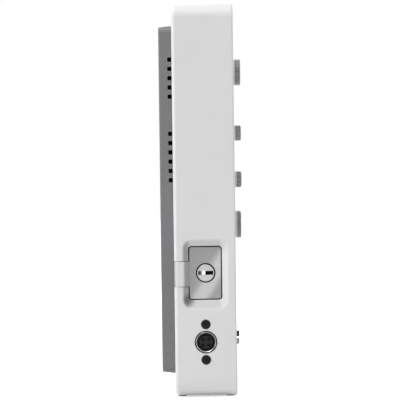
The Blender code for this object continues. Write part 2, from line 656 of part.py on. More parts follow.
# ================================================================ front panel and screen
def front_panel(material):
    """Front plate with its window, holes and the posts for the control board."""
    inset = SHELL_WALL + CLEARANCE
    panel = make_object("front_panel", shell_slab(inset, FRONT, PANEL_BACK), material)
    cut(panel, "glass_seat", rectangle(
        GLASS_X, GLASS_Z, GLASS_WIDTH + 2 * CLEARANCE, GLASS_HEIGHT + 2 * CLEARANCE,
        FRONT - OVERLAP, FRONT + GLASS_THICKNESS + CLEARANCE, GLASS_CORNER + CLEARANCE, 4))
    window = [rectangle(GLASS_X, GLASS_Z, SCREEN_WIDTH + 2 * SCREEN_MARGIN,
                        SCREEN_HEIGHT + 2 * SCREEN_MARGIN, FRONT - OVERLAP, PANEL_BACK + OVERLAP)]
    holes = [rectangle(x, z, w + 2 * KEY_GAP, h + 2 * KEY_GAP, FRONT - OVERLAP, PANEL_BACK + OVERLAP,
                       KEY_CORNER + KEY_GAP) for _, x, z, w, h in key_table()]
    for knob in knob_table():
        holes.append(rod(FRONT - OVERLAP, PANEL_BACK + OVERLAP, knob["spindle"] + BUSHING_WALL + CLEARANCE,
                         (knob["x"], 0.0, knob["z"]), "Y"))
    power_x, power_z = power_place()
    holes.append(rod(FRONT - OVERLAP, PANEL_BACK + OVERLAP, POWER_RADIUS + KEY_GAP,
                     (power_x, 0.0, power_z), "Y"))
    for _, z in terminal_table():
        holes.append(rectangle(RIGHT - TERMINAL_INSET, z, TERMINAL_WIDTH + 2 * CLEARANCE,
                               TERMINAL_HEIGHT + 2 * CLEARANCE, FRONT - OVERLAP, PANEL_BACK + OVERLAP))
    cut(panel, "openings", *window, *holes)
    join(panel, "posts", *[rod(PANEL_BACK - OVERLAP, CONTROL_FRONT - CLEARANCE, POST_RADIUS,
                               (x, 0.0, z), "Y", PIN_STEPS) for x, z in post_places()])
    return panel


def touch_glass(material):
    """Cover glass, flush with the front panel."""
    shape = rectangle(GLASS_X, GLASS_Z, GLASS_WIDTH, GLASS_HEIGHT, FRONT, FRONT + GLASS_THICKNESS,
                      GLASS_CORNER, 5)
    return make_object("touch_glass", shape, material)


def lcd_module(material):
    """Screen panel behind the window."""
    spread = 2 * (SCREEN_MARGIN + LCD_LIP)
    shape = rectangle(GLASS_X, GLASS_Z, SCREEN_WIDTH + spread, SCREEN_HEIGHT + spread, LCD_FRONT, LCD_BACK)
    return make_object("lcd_module", shape, material)


def mid_frame(material):
    """Aluminium sheet behind the screen, with standoffs that carry the main board."""
    spread = 2 * (SCREEN_MARGIN + LCD_LIP)
    width, height = SCREEN_WIDTH + spread, SCREEN_HEIGHT + spread
    sheet = rectangle(GLASS_X, GLASS_Z, width, height, FRAME_FRONT, FRAME_BACK)
    frame = make_object("mid_frame", sheet, material)
    xs = (MAIN_LEFT + 2 * STANDOFF_RADIUS, GLASS_X + width / 2 - 2 * STANDOFF_RADIUS)
    zs = (GLASS_Z - height / 2 + 2 * STANDOFF_RADIUS, GLASS_Z + height / 2 - 2 * STANDOFF_RADIUS)
    join(frame, "standoffs", *[rod(FRAME_BACK - OVERLAP, MAIN_FRONT - CLEARANCE, STANDOFF_RADIUS,
                                   (x, 0.0, z), "Y", PIN_STEPS) for x in xs for z in zs])
    return frame


# ================================================================ knobs
def shaft_outline(radius, x, z):
    """Round section with a flat on top."""
    flat = math.degrees(math.acos(1 - SPINDLE_FLAT))
    return arc((x, z), radius, 90 + flat, 450 - flat, 20)


def knob_set(knob, plastic, metal):
    """A knob and the spindle that it is pressed on."""
    x, z, radius, spindle = knob["x"], knob["z"], knob["radius"], knob["spindle"]
    tip = FRONT - knob["reach"]
    base = FRONT - KNOB_TRAVEL - CLEARANCE
    bore_end = tip + KNOB_TIP_WALL
    spindle_tip = bore_end + KNOB_TRAVEL + CLEARANCE
    seat = ENCODER_FRONT + SPINDLE_SEAT
    make_object(f"spindle_{knob['name']}", prism(shaft_outline(spindle, x, z), "Y", spindle_tip, seat),
                metal, (x, FRONT, z))
    profile = [(tip, 0.0), (tip, radius - KNOB_EDGE), (tip + KNOB_EDGE * 0.3, radius - KNOB_EDGE * 0.3),
               (tip + KNOB_EDGE, radius), (base, radius), (base, 0.0)]
    made = make_object(f"knob_{knob['name']}", turned(profile, (x, 0.0, z), "Y", 24), plastic, (x, FRONT, z))
    cut(made, "bore", prism(shaft_outline(spindle + RUNNING_FIT, x, z), "Y", bore_end, base + OVERLAP))


# ================================================================ keys
def key(name, x, z, width, height, material):
    """A key cap with the flange that keeps it behind the panel."""
    cap = rectangle(x, z, width, height, FRONT - KEY_PROUD, KEY_FLANGE_FRONT + OVERLAP, KEY_CORNER)
    round_edges(cap, rim_edges(cap, "Y", FRONT - KEY_PROUD), KEY_PROUD * 0.4, 1)
    made = make_object(name, cap, material, (x, FRONT, z))
    spread = 2 * (KEY_GAP + KEY_FLANGE)
    join(made, "flange", rectangle(x, z, width + spread, height + spread, KEY_FLANGE_FRONT, KEY_BACK))


def power_button(material):
    """Round power button."""
    x, z = power_place()
    flange = POWER_RADIUS + KEY_GAP + KEY_FLANGE
    profile = [(FRONT - POWER_PROUD, 0.0), (FRONT - POWER_PROUD, POWER_RADIUS - KEY_FLANGE / 2),
               (FRONT - POWER_PROUD + KEY_FLANGE / 2, POWER_RADIUS), (KEY_FLANGE_FRONT, POWER_RADIUS),
               (KEY_FLANGE_FRONT, flange), (KEY_BACK, flange), (KEY_BACK, 0.0)]
    return make_object("power_button", turned(profile, (x, 0.0, z), "Y"), material, (x, FRONT, z))


def keypad_mat(material):
    """Silicone mat with a stem behind each key, and holes for the encoders."""
    low = CONTROL_LOW + 2 * POST_RADIUS + CLEARANCE
    high = CONTROL_HIGH - 2 * POST_RADIUS - CLEARANCE
    mat = make_object("keypad_mat", rectangle(CONTROL_X, (low + high) / 2, CONTROL_WIDTH, high - low,
                                              MAT_FRONT, MAT_BACK), material)
    stems = [rectangle(x, z, w - 2 * STEM_INSET, h - 2 * STEM_INSET, STEM_TIP, MAT_FRONT + MAT_THICKNESS / 2)
             for _, x, z, w, h in key_table()]
    power_x, power_z = power_place()
    side = 2 * (POWER_RADIUS - STEM_INSET)
    stems.append(rectangle(power_x, power_z, side, side, STEM_TIP, MAT_FRONT + MAT_THICKNESS / 2))
    join(mat, "stems", *stems)
    room = ENCODER_SIDE + 2 * CLEARANCE
    cut(mat, "encoder_holes", *[rectangle(knob["x"], knob["z"], room, room, MAT_FRONT - OVERLAP,
                                          MAT_BACK + OVERLAP) for knob in knob_table()])
    return mat


def control_board(material):
    """Board behind the keys, with the encoders soldered to it."""
    board = make_object("control_board", rectangle(
        CONTROL_X, (CONTROL_LOW + CONTROL_HIGH) / 2, CONTROL_WIDTH, CONTROL_HIGH - CONTROL_LOW,
        CONTROL_FRONT, CONTROL_BACK), material)
    knobs = knob_table()
    join(board, "encoders", *[rectangle(k["x"], k["z"], ENCODER_SIDE, ENCODER_SIDE, ENCODER_FRONT,
                                        CONTROL_FRONT + OVERLAP) for k in knobs])
    join(board, "bushings", *[rod(FRONT + BUSHING_SETBACK, ENCODER_FRONT + OVERLAP,
                                  k["spindle"] + BUSHING_WALL, (k["x"], 0.0, k["z"]), "Y") for k in knobs])
    cut(board, "spindle_bores", *[rod(FRONT + BUSHING_SETBACK - OVERLAP,
                                      ENCODER_FRONT + SPINDLE_SEAT + CLEARANCE, k["spindle"] + RUNNING_FIT,
                                      (k["x"], 0.0, k["z"]), "Y") for k in knobs])
    return board


def terminals(black, metal):
    """Test-signal and ground terminals, each a tab with a hole for a probe's hook."""
    x = RIGHT - TERMINAL_INSET
    seat = PANEL_BACK + CLEARANCE
    for (name, z), material in zip(terminal_table(), (black, metal)):
        tab = rectangle(x, z, TERMINAL_WIDTH, TERMINAL_HEIGHT, FRONT - TERMINAL_REACH, seat + OVERLAP)
        corners = [e for e in rim_edges(tab, "Y", FRONT - TERMINAL_REACH)
                   if abs((e.verts[0].co - e.verts[1].co).z) > TINY]
        round_edges(tab, corners, TERMINAL_WIDTH * 0.3, 3)
        made = make_object(name, tab, material)
        width = TERMINAL_WIDTH + 4 * CLEARANCE + KEY_FLANGE
        height = TERMINAL_HEIGHT + 2 * CLEARANCE + KEY_FLANGE / 2
        join(made, "flange", rectangle(x, z, width, height, seat, seat + KEY_FLANGE))
        cut(made, "hook_hole", rod(z - TERMINAL_HEIGHT, z + TERMINAL_HEIGHT, TERMINAL_HOLE,
                                   (x, FRONT - TERMINAL_REACH * 0.62, 0.0), "Z", PIN_STEPS))


# ================================================================ boards and cooling
def main_board(material):
    """Main board with its processor."""
    sheet = slab((MAIN_LEFT, MAIN_FRONT, MAIN_LOW), (MAIN_RIGHT, MAIN_BACK, MAIN_HIGH))
    board = make_object("main_board", sheet, material)
    join(board, "processor", rectangle(FAN_X, FAN_Z, CHIP_SIDE, CHIP_SIDE, MAIN_BACK - OVERLAP,
                                       MAIN_BACK + CHIP_HEIGHT))
    return board


def heat_sink(material):
    """Finned heat sink on the processor."""
    base = MAIN_BACK + CHIP_HEIGHT + CLEARANCE
    fin_end = FAN_FRONT - SINK_GAP
    plate = rectangle(FAN_X, FAN_Z, FAN_SIDE, FAN_SIDE, base, base + SINK_BASE)
    sink = make_object("heat_sink", plate, material)
    spacing = (FAN_SIDE - FIN_THICKNESS) / (FIN_COUNT - 1)
    first = FAN_X - FAN_SIDE / 2 + FIN_THICKNESS / 2
    join(sink, "fins", *[rectangle(first + i * spacing, FAN_Z, FIN_THICKNESS, FAN_SIDE, base + SINK_BASE / 2,
                                   fin_end) for i in range(FIN_COUNT)])
    return sink


def front_end_shield(material):
    """Metal can over the input amplifiers, open towards the board."""
    x = MAIN_RIGHT - SHIELD_WIDTH / 2 - 2 * SHIELD_WALL
    heights = bnc_heights()
    z = (heights[0] + heights[-1]) / 2
    height = heights[0] - heights[-1] + 2 * SHIELD_MARGIN
    y0 = MAIN_BACK + CLEARANCE
    can = rectangle(x, z, SHIELD_WIDTH, height, y0, y0 + SHIELD_DEPTH)
    shield = make_object("front_end_shield", can, material)
    cut(shield, "inside", rectangle(x, z, SHIELD_WIDTH - 2 * SHIELD_WALL, height - 2 * SHIELD_WALL,
                                    y0 - OVERLAP, y0 + SHIELD_DEPTH - SHIELD_WALL))
    return shield


def fan_frame(material):
    """Square fan frame with the hub plate and pin that carry the rotor."""
    frame = make_object("fan_frame", rectangle(FAN_X, FAN_Z, FAN_SIDE, FAN_SIDE, FAN_FRONT, FAN_BACK,
                                               COVER_CORNER, 3), material)
    centre = (FAN_X, 0.0, FAN_Z)
    cut(frame, "bore", rod(FAN_FRONT - OVERLAP, FAN_BACK + OVERLAP, FAN_BORE, centre, "Y", 2 * ROUND_STEPS))
    half, reach = FAN_ARM_WIDTH / 2, FAN_BORE + OVERLAP
    join(frame, "level_arm", slab((FAN_X - reach, FAN_BACK - FAN_PLATE, FAN_Z - half),
                                  (FAN_X + reach, FAN_BACK, FAN_Z + half)))
    join(frame, "upright_arm", slab((FAN_X - half, FAN_BACK - FAN_PLATE, FAN_Z - reach),
                                    (FAN_X + half, FAN_BACK, FAN_Z + reach)))
    join(frame, "hub_plate", rod(FAN_BACK - FAN_PLATE - CLEARANCE / 2, FAN_BACK - CLEARANCE / 2, FAN_HUB,
                                 centre, "Y"))
    join(frame, "pin", rod(FAN_FRONT + FAN_PLATE, FAN_BACK - FAN_PLATE, FAN_PIN, centre, "Y"))
    return frame


def fan_rotor(material):
    """Hub and blades, turning on the frame's pin."""
    centre = (FAN_X, 0.0, FAN_Z)
    front, back = FAN_FRONT + CLEARANCE, FAN_BACK - FAN_PLATE - 2 * CLEARANCE
    bore = FAN_PIN + RUNNING_FIT
    rotor = make_object("fan_rotor", turned(
        [(front, bore), (front, FAN_HUB - OVERLAP), (front + OVERLAP, FAN_HUB), (back, FAN_HUB),
         (back, bore)], centre, "Y", ring=True), material, (FAN_X, FAN_FRONT, FAN_Z))
    root, tip = FAN_HUB - OVERLAP, FAN_BORE - 2 * CLEARANCE
    half_chord = (back - front) * BLADE_CHORD / 2
    pitch = Matrix.Rotation(math.radians(BLADE_TURN), 3, "X")
    blades = []
    for i in range(FAN_BLADES):
        blade = slab((root, -half_chord, -BLADE_THICKNESS / 2), (tip, half_chord, BLADE_THICKNESS / 2))
        place = Matrix.Rotation(2 * math.pi * i / FAN_BLADES, 3, "Y")
        bmesh.ops.rotate(blade, cent=(0, 0, 0), matrix=place @ pitch, verts=blade.verts)
        bmesh.ops.translate(blade, vec=(FAN_X, (front + back) / 2, FAN_Z), verts=blade.verts)
        blades.append(blade)
    join(rotor, "blades", *blades)
    return rotor


# ================================================================ rear cover and kickstand
def cover_slab(inset, y0, y1, draft):
    """A slab with the cover's outline made smaller by inset, and its back smaller by draft."""
    low = (COVER_LEFT + inset, y0, COVER_LOW + inset)
    high = (COVER_RIGHT - inset, y1, COVER_HIGH - inset)
    shape = slab(low, high, "Y", max(COVER_CORNER - inset, CLEARANCE), 4)
    middle_z = (COVER_LOW + COVER_HIGH) / 2
    for vertex in shape.verts:
        if vertex.co.y > (y0 + y1) / 2:
            vertex.co.x -= math.copysign(draft, vertex.co.x - MIDDLE_X)
            vertex.co.z -= math.copysign(draft, vertex.co.z - middle_z)
    return shape


def vent_heights():
    """Height of each side slot's middle."""
    return [COVER_HIGH - VENT_DROP - i * VENT_PITCH for i in VENT_SLOTS]


def rear_cover(material):
    """Grey cover with side slots, the fan's grille and the tray that the kickstand folds into."""
    front = REAR + CLEARANCE
    shape = cover_slab(0.0, front, BACK, COVER_DRAFT)
    round_edges(shape, rim_edges(shape, "Y", BACK), COVER_EDGE, 2)
    cover = make_object("rear_cover", shape, material)
    cut(cover, "hollow", cover_slab(COVER_WALL, front - OVERLAP, BACK - COVER_WALL, 0.0))
    side = TRAY_WALL + STAND_ROD_GRIP + CLEARANCE
    half = STAND_WIDTH / 2 + TRAY_GAP
    tray_low, tray_high = STAND_LOW - TRAY_GAP, STAND_Z + STAND_BARREL + CLEARANCE
    join(cover, "tray", slab(
        (MIDDLE_X - half - side, TRAY_FLOOR - TRAY_WALL, tray_low - TRAY_WALL),
        (MIDDLE_X + half + side, BACK - COVER_WALL / 2, tray_high + TRAY_WALL)))
    cut(cover, "tray_pocket", slab((MIDDLE_X - half, TRAY_FLOOR, tray_low),
                                   (MIDDLE_X + half, BACK + OVERLAP, tray_high)))
    rod_half = STAND_WIDTH / 2 + STAND_ROD_GRIP + TRAY_GAP
    cut(cover, "rod_holes", rod(MIDDLE_X - rod_half, MIDDLE_X + rod_half, STAND_ROD_RADIUS + RUNNING_FIT,
                                (0.0, STAND_Y, STAND_Z), "X", PIN_STEPS))
    side_slots = []
    for z in vent_heights():
        for x in (COVER_LEFT, COVER_RIGHT):
            low = (x - 2 * COVER_WALL, front - 2 * OVERLAP, z - VENT_HEIGHT / 2)
            high = (x + 2 * COVER_WALL, front + VENT_REACH, z + VENT_HEIGHT / 2)
            side_slots.append(slab(low, high, "X", VENT_CORNER, 1))
    cut(cover, "side_slots", *side_slots)
    rows = int(2 * FAN_BORE / VENT_PITCH)
    slots = []
    for i in range(rows):
        offset = (i - (rows - 1) / 2) * VENT_PITCH
        half_width = math.sqrt(FAN_BORE**2 - offset**2)
        slots.append(slab((FAN_X - half_width, BACK - 2 * COVER_WALL, FAN_Z + offset - VENT_HEIGHT / 2),
                          (FAN_X + half_width, BACK + OVERLAP, FAN_Z + offset + VENT_HEIGHT / 2), "Y",
                          VENT_HEIGHT * 0.45, 2))
    cut(cover, "fan_grille", *slots)
    return cover


def kickstand(material):
    """Fold-out leg, hinged at its top."""
    inner = STAND_THICKNESS - STAND_BARREL
    turn = math.degrees(math.asin(math.sqrt(1 - (inner / STAND_BARREL) ** 2)))
    outline = [(BACK - STAND_THICKNESS, STAND_LOW + STAND_BARREL), (BACK - STAND_THICKNESS / 2, STAND_LOW),
               (BACK, STAND_LOW + STAND_BARREL)]
    outline += arc((STAND_Y, STAND_Z), STAND_BARREL, 0, 180 + turn, 10)
    half = STAND_WIDTH / 2
    leg = make_object("kickstand", prism(outline, "X", MIDDLE_X - half, MIDDLE_X + half), material,
                      (MIDDLE_X, STAND_Y, STAND_Z))
    width, height = STAND_WINDOW
    cut(leg, "window", rectangle(MIDDLE_X, STAND_Z - STAND_WINDOW_DROP - height / 2, width, height,
                                 TRAY_FLOOR, BACK + OVERLAP, STAND_CORNER))
    cut(leg, "rod_bore", rod(MIDDLE_X - half - OVERLAP, MIDDLE_X + half + OVERLAP,
                             STAND_ROD_RADIUS + RUNNING_FIT, (0.0, STAND_Y, STAND_Z), "X", PIN_STEPS))
    return leg


def kickstand_rod(material):
    """Steel rod through the kickstand's barrel."""
    half = STAND_WIDTH / 2 + STAND_ROD_GRIP
    return make_object("kickstand_rod", rod(MIDDLE_X - half, MIDDLE_X + half, STAND_ROD_RADIUS,
                                            (0.0, STAND_Y, STAND_Z), "X", PIN_STEPS), material)


# ================================================================ hatch, lock and battery
def hatch_door(material):
    """T-shaped door: a plate in the pocket, and a tab that ends in the hinge's knuckle."""
    plate = slab((HATCH_FACE, HATCH_Y0, HATCH_LOW), (HATCH_INNER, HATCH_Y1, HATCH_HIGH), "X", HATCH_CORNER, 3)
    door = make_object("hatch_door", plate, material, (HINGE_X, HINGE_Y, HATCH_Z))
    slope_y = REAR - TAB_SLOPE
    outline = [(HATCH_INNER, HATCH_Y1 - OVERLAP), (HATCH_FACE, HATCH_Y1 - OVERLAP), (HATCH_FACE, HATCH_Y1),
               (LEFT, slope_y)]
    outline += arc((HINGE_X, HINGE_Y), REAR_EDGE, 180, -90, 18)
    outline += [(HINGE_X, slope_y), (HATCH_INNER, HATCH_Y1)]
    join(door, "tab", prism(outline, "Z", HATCH_Z - TAB_HEIGHT / 2, HATCH_Z + TAB_HEIGHT / 2))
    cut(door, "pin_hole", rod(HATCH_Z - TAB_HEIGHT, HATCH_Z + TAB_HEIGHT, HINGE_PIN_RADIUS + RUNNING_FIT,
                              (HINGE_X, HINGE_Y, 0.0), "Z", PIN_STEPS))
    cut(door, "lock_hole", rod(HATCH_FACE - OVERLAP, HATCH_INNER + OVERLAP, LOCK_RADIUS + LOCK_RING,
                               (0.0, HATCH_Y, HATCH_Z), "X"))
    return door


def hatch_pin(material):
    """Hinge pin of the hatch."""
    reach = TAB_HEIGHT / 2 + HINGE_PIN_GRIP
    return make_object("hatch_pin", rod(HATCH_Z - reach, HATCH_Z + reach, HINGE_PIN_RADIUS,
                                        (HINGE_X, HINGE_Y, 0.0), "Z", PIN_STEPS), material)


def coin_lock(material):
    """Quarter-turn lock with a coin slot, and the cam that goes behind the shell's lip."""
    centre = (0.0, HATCH_Y, HATCH_Z)
    flange_back = HATCH_SEAT + LOCK_FLANGE
    profile = [(HATCH_FACE, 0.0), (HATCH_FACE, LOCK_RADIUS), (HATCH_SEAT, LOCK_RADIUS),
               (HATCH_SEAT, LOCK_FLANGE_RADIUS), (flange_back, LOCK_FLANGE_RADIUS),
               (flange_back, LOCK_HUB_RADIUS), (CAM_BACK, LOCK_HUB_RADIUS), (CAM_BACK, 0.0)]
    lock = make_object("coin_lock", turned(profile, centre, "X"), material, (HATCH_FACE, HATCH_Y, HATCH_Z))
    join(lock, "cam", slab((CAM_FRONT, HATCH_Y - LOCK_HUB_RADIUS * 0.9, HATCH_Z - CAM_LENGTH),
                           (CAM_BACK - CLEARANCE / 3, HATCH_Y + LOCK_HUB_RADIUS * 0.9, HATCH_Z)))
    reach = LOCK_RADIUS + OVERLAP
    cut(lock, "coin_slot", slab(
        (HATCH_FACE - OVERLAP, HATCH_Y - reach, HATCH_Z - LOCK_SLOT / 2),
        (HATCH_FACE + LOCK_SLOT_DEPTH, HATCH_Y + reach, HATCH_Z + LOCK_SLOT / 2)))
    return lock


def battery_bay(material):
    """Tray behind the hatch that the battery slides into."""
    box = slab((BAY_X0, BAY_Y0, HATCH_LOW), (BAY_X1, BAY_Y1, HATCH_HIGH))
    bay = make_object("battery_bay", box, material)
    cut(bay, "inside", slab((BAY_X0 - OVERLAP, BAY_Y0 + BAY_WALL, HATCH_LOW + BAY_WALL),
                            (BAY_X1 - BAY_WALL, BAY_Y1 - BAY_WALL, HATCH_HIGH - BAY_WALL)))
    return bay


def battery_pack(material):
    """Battery, a clearance smaller than its bay all round."""
    gap = BAY_WALL + CLEARANCE
    shape = slab((BAY_X0 + gap, BAY_Y0 + gap, HATCH_LOW + gap),
                 (BAY_X1 - gap, BAY_Y1 - gap, HATCH_HIGH - gap), "X", 2 * HATCH_CORNER, 3)
    return make_object("battery_pack", shape, material)


# ================================================================ power inlet
def screw_heights():
    """Heights of the inlet's two screws."""
    return [INLET_Z + SCREW_SPACING / 2, INLET_Z - SCREW_SPACING / 2]


def dc_inlet(metal, plastic):
    """Round inlet: a metal cup with a flange behind the wall, and the contact insert in it."""
    centre = (0.0, INLET_Y, INLET_Z)
    face = LEFT - INLET_PROUD
    floor = face + INLET_DEPTH
    bore = INLET_RADIUS - INLET_WALL
    profile = [(floor, 0.0), (floor, bore), (face, bore), (face, INLET_RADIUS),
               (floor + INLET_BACK, INLET_RADIUS), (floor + INLET_BACK, 0.0)]
    cup = make_object("dc_inlet_shell", turned(profile, centre, "X"), metal)
    wall = LEFT + SHELL_WALL + CLEARANCE
    half = INLET_RADIUS + INLET_WALL
    low = (wall, INLET_Y - half, INLET_Z - INLET_HALF)
    high = (wall + INLET_FLANGE, INLET_Y + half, INLET_Z + INLET_HALF)
    join(cup, "flange", slab(low, high, "X", 2 * SCREW_RADIUS, 2))
    cut(cup, "bore", rod(wall - OVERLAP, floor, bore, centre, "X"))
    cut(cup, "screw_holes", *[rod(wall - OVERLAP, wall + INLET_FLANGE + OVERLAP, SCREW_RADIUS + RUNNING_FIT,
                                  (0.0, INLET_Y, z), "X", PIN_STEPS) for z in screw_heights()])
    top = face + INLET_INSERT_SETBACK
    core = rod(top, floor - CLEARANCE, INLET_INSERT_RADIUS, centre, "X")
    insert = make_object("dc_inlet_insert", core, plastic)
    half = CONTACT_SPACING / 2
    cut(insert, "contacts", *[rod(top - OVERLAP, top + CONTACT_DEPTH, CONTACT_RADIUS,
                                  (0.0, INLET_Y + y, INLET_Z + z), "X", PIN_STEPS)
                              for y in (-half, half) for z in (-half, half)])


def inlet_screws(material):
    """The inlet's two screws."""
    head = LEFT - SCREW_HEAD_PROUD
    under = LEFT + SCREW_SEAT_DEPTH - CLEARANCE
    for name, z in zip(("inlet_screw_upper", "inlet_screw_lower"), screw_heights()):
        profile = [(head, 0.0), (head, SCREW_HEAD_RADIUS * 0.7), (head + SCREW_HEAD_PROUD, SCREW_HEAD_RADIUS),
                   (under, SCREW_HEAD_RADIUS), (under, SCREW_RADIUS), (under + SCREW_LENGTH, SCREW_RADIUS),
                   (under + SCREW_LENGTH, 0.0)]
        make_object(name, turned(profile, (0.0, INLET_Y, z), "X", 16), material)


# ================================================================ inputs and ports
def bnc_input(number, z, material):
    """One input connector: barrel with two lugs, nut, body behind the wall and contact core."""
    centre = (0.0, FRONT + BNC_DEPTH, z)
    tip = RIGHT + BNC_REACH
    floor = tip - BNC_BORE_DEPTH
    nut0 = RIGHT + CLEARANCE
    nut1 = nut0 + BNC_NUT_THICKNESS
    body1 = RIGHT - SHELL_WALL - CLEARANCE
    body0 = body1 - BNC_BODY_LENGTH
    core = tip - BNC_CORE_SETBACK
    profile = [(body0, 0.0), (body0, BNC_BODY_RADIUS), (body1, BNC_BODY_RADIUS), (body1, BNC_THREAD_RADIUS),
               (nut0, BNC_THREAD_RADIUS), (nut0, BNC_NUT_RADIUS), (nut1, BNC_NUT_RADIUS), (nut1, BNC_RADIUS),
               (tip, BNC_RADIUS), (tip, BNC_BORE_RADIUS), (floor, BNC_BORE_RADIUS), (floor, BNC_CORE_RADIUS),
               (core, BNC_CORE_RADIUS), (core, BNC_CONTACT_RADIUS), (floor, BNC_CONTACT_RADIUS), (floor, 0.0)]
    made = make_object(f"bnc_input_{number}", turned(profile, centre, "X"), material)
    reach = BNC_RADIUS + BNC_LUG_REACH
    x = tip - BNC_LUG_SETBACK
    y = FRONT + BNC_DEPTH
    join(made, "lugs", *[rod(min(a, b), max(a, b), BNC_LUG_RADIUS, (x, y, 0.0), "Z", 8)
                         for a, b in ((z + BNC_BORE_RADIUS + OVERLAP / 2, z + reach),
                                      (z - BNC_BORE_RADIUS - OVERLAP / 2, z - reach))])


def lan_port(material):
    """Network socket on the main board."""
    z = BOTTOM + LAN_RISE
    y0 = MAIN_BACK + CLEARANCE
    port = make_object("lan_port", slab((RIGHT - LAN_LENGTH, y0, z - LAN_WIDTH / 2),
                                        (RIGHT, y0 + LAN_THICKNESS, z + LAN_WIDTH / 2)), material)
    width, thickness, depth = LAN_HOLE
    y = y0 + LAN_THICKNESS / 2
    cut(port, "socket", slab((RIGHT - depth, y - thickness / 2, z - width / 2),
                             (RIGHT + OVERLAP, y + thickness / 2, z + width / 2)))
    return port


def usb_port(material):
    """USB host socket on the main board, with its tongue."""
    z = BOTTOM + USB_RISE
    y0 = MAIN_BACK + CLEARANCE
    y1 = y0 + USB_THICKNESS
    case = slab((RIGHT - USB_LENGTH, y0, z - USB_WIDTH / 2), (RIGHT, y1, z + USB_WIDTH / 2))
    port = make_object("usb_port", case, material)
    half = USB_WIDTH / 2 - USB_WALL
    cut(port, "mouth", slab((RIGHT - USB_HOLE_DEPTH, y0 + USB_WALL, z - half),
                            (RIGHT + OVERLAP, y1 - USB_WALL, z + half)))
    tongue = y0 + 2 * USB_WALL
    join(port, "tongue", slab((RIGHT - USB_HOLE_DEPTH - OVERLAP, tongue, z - half + USB_WALL),
                              (RIGHT - 2 * USB_WALL, tongue + USB_TONGUE, z + half - USB_WALL)))
    return port


# ================================================================ whole object
def build():
    """Make every piece."""
    for obj in list(bpy.data.objects):
        bpy.data.objects.remove(obj, do_unlink=True)
    white = colour_material("white_plastic", (0.62, 0.62, 0.62), 0.45)
    grey = colour_material("grey_plastic", (0.19, 0.19, 0.2), 0.6)
    knob_grey = colour_material("knob_plastic", (0.13, 0.13, 0.14), 0.5)
    key_grey = colour_material("key_plastic", (0.5, 0.5, 0.51), 0.5)
    black = colour_material("black_plastic", (0.02, 0.02, 0.02), 0.45)
    rubber = colour_material("rubber", (0.02, 0.02, 0.02), 0.9)
    glass = colour_material("screen_glass", (0.01, 0.01, 0.012), 0.08)
    steel = colour_material("steel", (0.6, 0.6, 0.6), 0.3, 1.0)
    nickel = colour_material("nickel", (0.65, 0.63, 0.6), 0.25, 1.0)
    aluminium = colour_material("aluminium", (0.6, 0.61, 0.62), 0.4, 1.0)
    board = colour_material("circuit_board", (0.02, 0.12, 0.05), 0.5)
    battery = colour_material("battery_wrap", (0.03, 0.05, 0.12), 0.5)

    main_housing(white)
    foot_strips(rubber)
    front_panel(white)
    touch_glass(glass)
    lcd_module(black)
    mid_frame(aluminium)
    for knob in knob_table():
        knob_set(knob, knob_grey, steel)
    for row in key_table():
        key(*row, key_grey)
    power_button(key_grey)
    keypad_mat(rubber)
    control_board(board)
    terminals(black, nickel)
    main_board(board)
    heat_sink(aluminium)
    front_end_shield(steel)
    fan_frame(black)
    fan_rotor(black)
    rear_cover(grey)
    kickstand(grey)
    kickstand_rod(steel)
    hatch_door(white)
    hatch_pin(steel)
    coin_lock(nickel)
    battery_bay(black)
    battery_pack(battery)
    dc_inlet(nickel, black)
    inlet_screws(black)
    for number, height in enumerate(bnc_heights(), 1):
        bnc_input(number, height, nickel)
    lan_port(steel)
    usb_port(steel)


build()
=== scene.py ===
"""Slim bench oscilloscope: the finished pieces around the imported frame.

Metres, +Z up. The screen and the controls face -Y, the grey cover faces +Y, and the inputs are on the
+X side. Each sub-assembly is a class that builds its pieces in place and gives each one its finish.
"""
import logging
import math
from collections.abc import Callable, Iterable, Sequence
from dataclasses import dataclass, field
from enum import Enum
from functools import cache

import bmesh
import bpy
from mathutils import Matrix, Vector


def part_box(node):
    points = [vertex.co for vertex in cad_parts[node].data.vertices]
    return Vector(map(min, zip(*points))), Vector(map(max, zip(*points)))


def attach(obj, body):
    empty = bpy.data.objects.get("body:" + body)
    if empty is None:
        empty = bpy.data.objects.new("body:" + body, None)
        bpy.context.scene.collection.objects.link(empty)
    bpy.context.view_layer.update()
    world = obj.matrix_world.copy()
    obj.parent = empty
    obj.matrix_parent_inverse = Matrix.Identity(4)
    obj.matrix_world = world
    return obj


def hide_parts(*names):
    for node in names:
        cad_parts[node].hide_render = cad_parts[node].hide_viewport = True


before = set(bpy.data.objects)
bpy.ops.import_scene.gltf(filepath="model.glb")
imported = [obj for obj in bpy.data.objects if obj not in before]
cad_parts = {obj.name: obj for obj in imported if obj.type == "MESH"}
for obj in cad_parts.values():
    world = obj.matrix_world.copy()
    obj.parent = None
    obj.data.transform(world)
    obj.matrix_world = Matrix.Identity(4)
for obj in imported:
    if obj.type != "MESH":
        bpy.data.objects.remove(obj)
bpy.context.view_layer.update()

LOG = logging.getLogger("oscilloscope")
OVER = 0.0005  # how far a cutter reaches past the face that it opens
GAP = 0.0003  # between pieces that lie against each other
PLAY = 0.00015  # of a shaft in its bore
THIN = 0.00003  # half the thickness of the print
SHARP = math.radians(32)  # edges steeper than this stay crisp
WELD = 1e-7  # points nearer than this are one
MM = 0.001

Colour = tuple[float, float, float]
Triple = tuple[float, float, float]
Pair = tuple[float, float]
Level = Callable[[Vector, int], Vector]
Node = bpy.types.Node
NodeTree = bpy.types.NodeTree


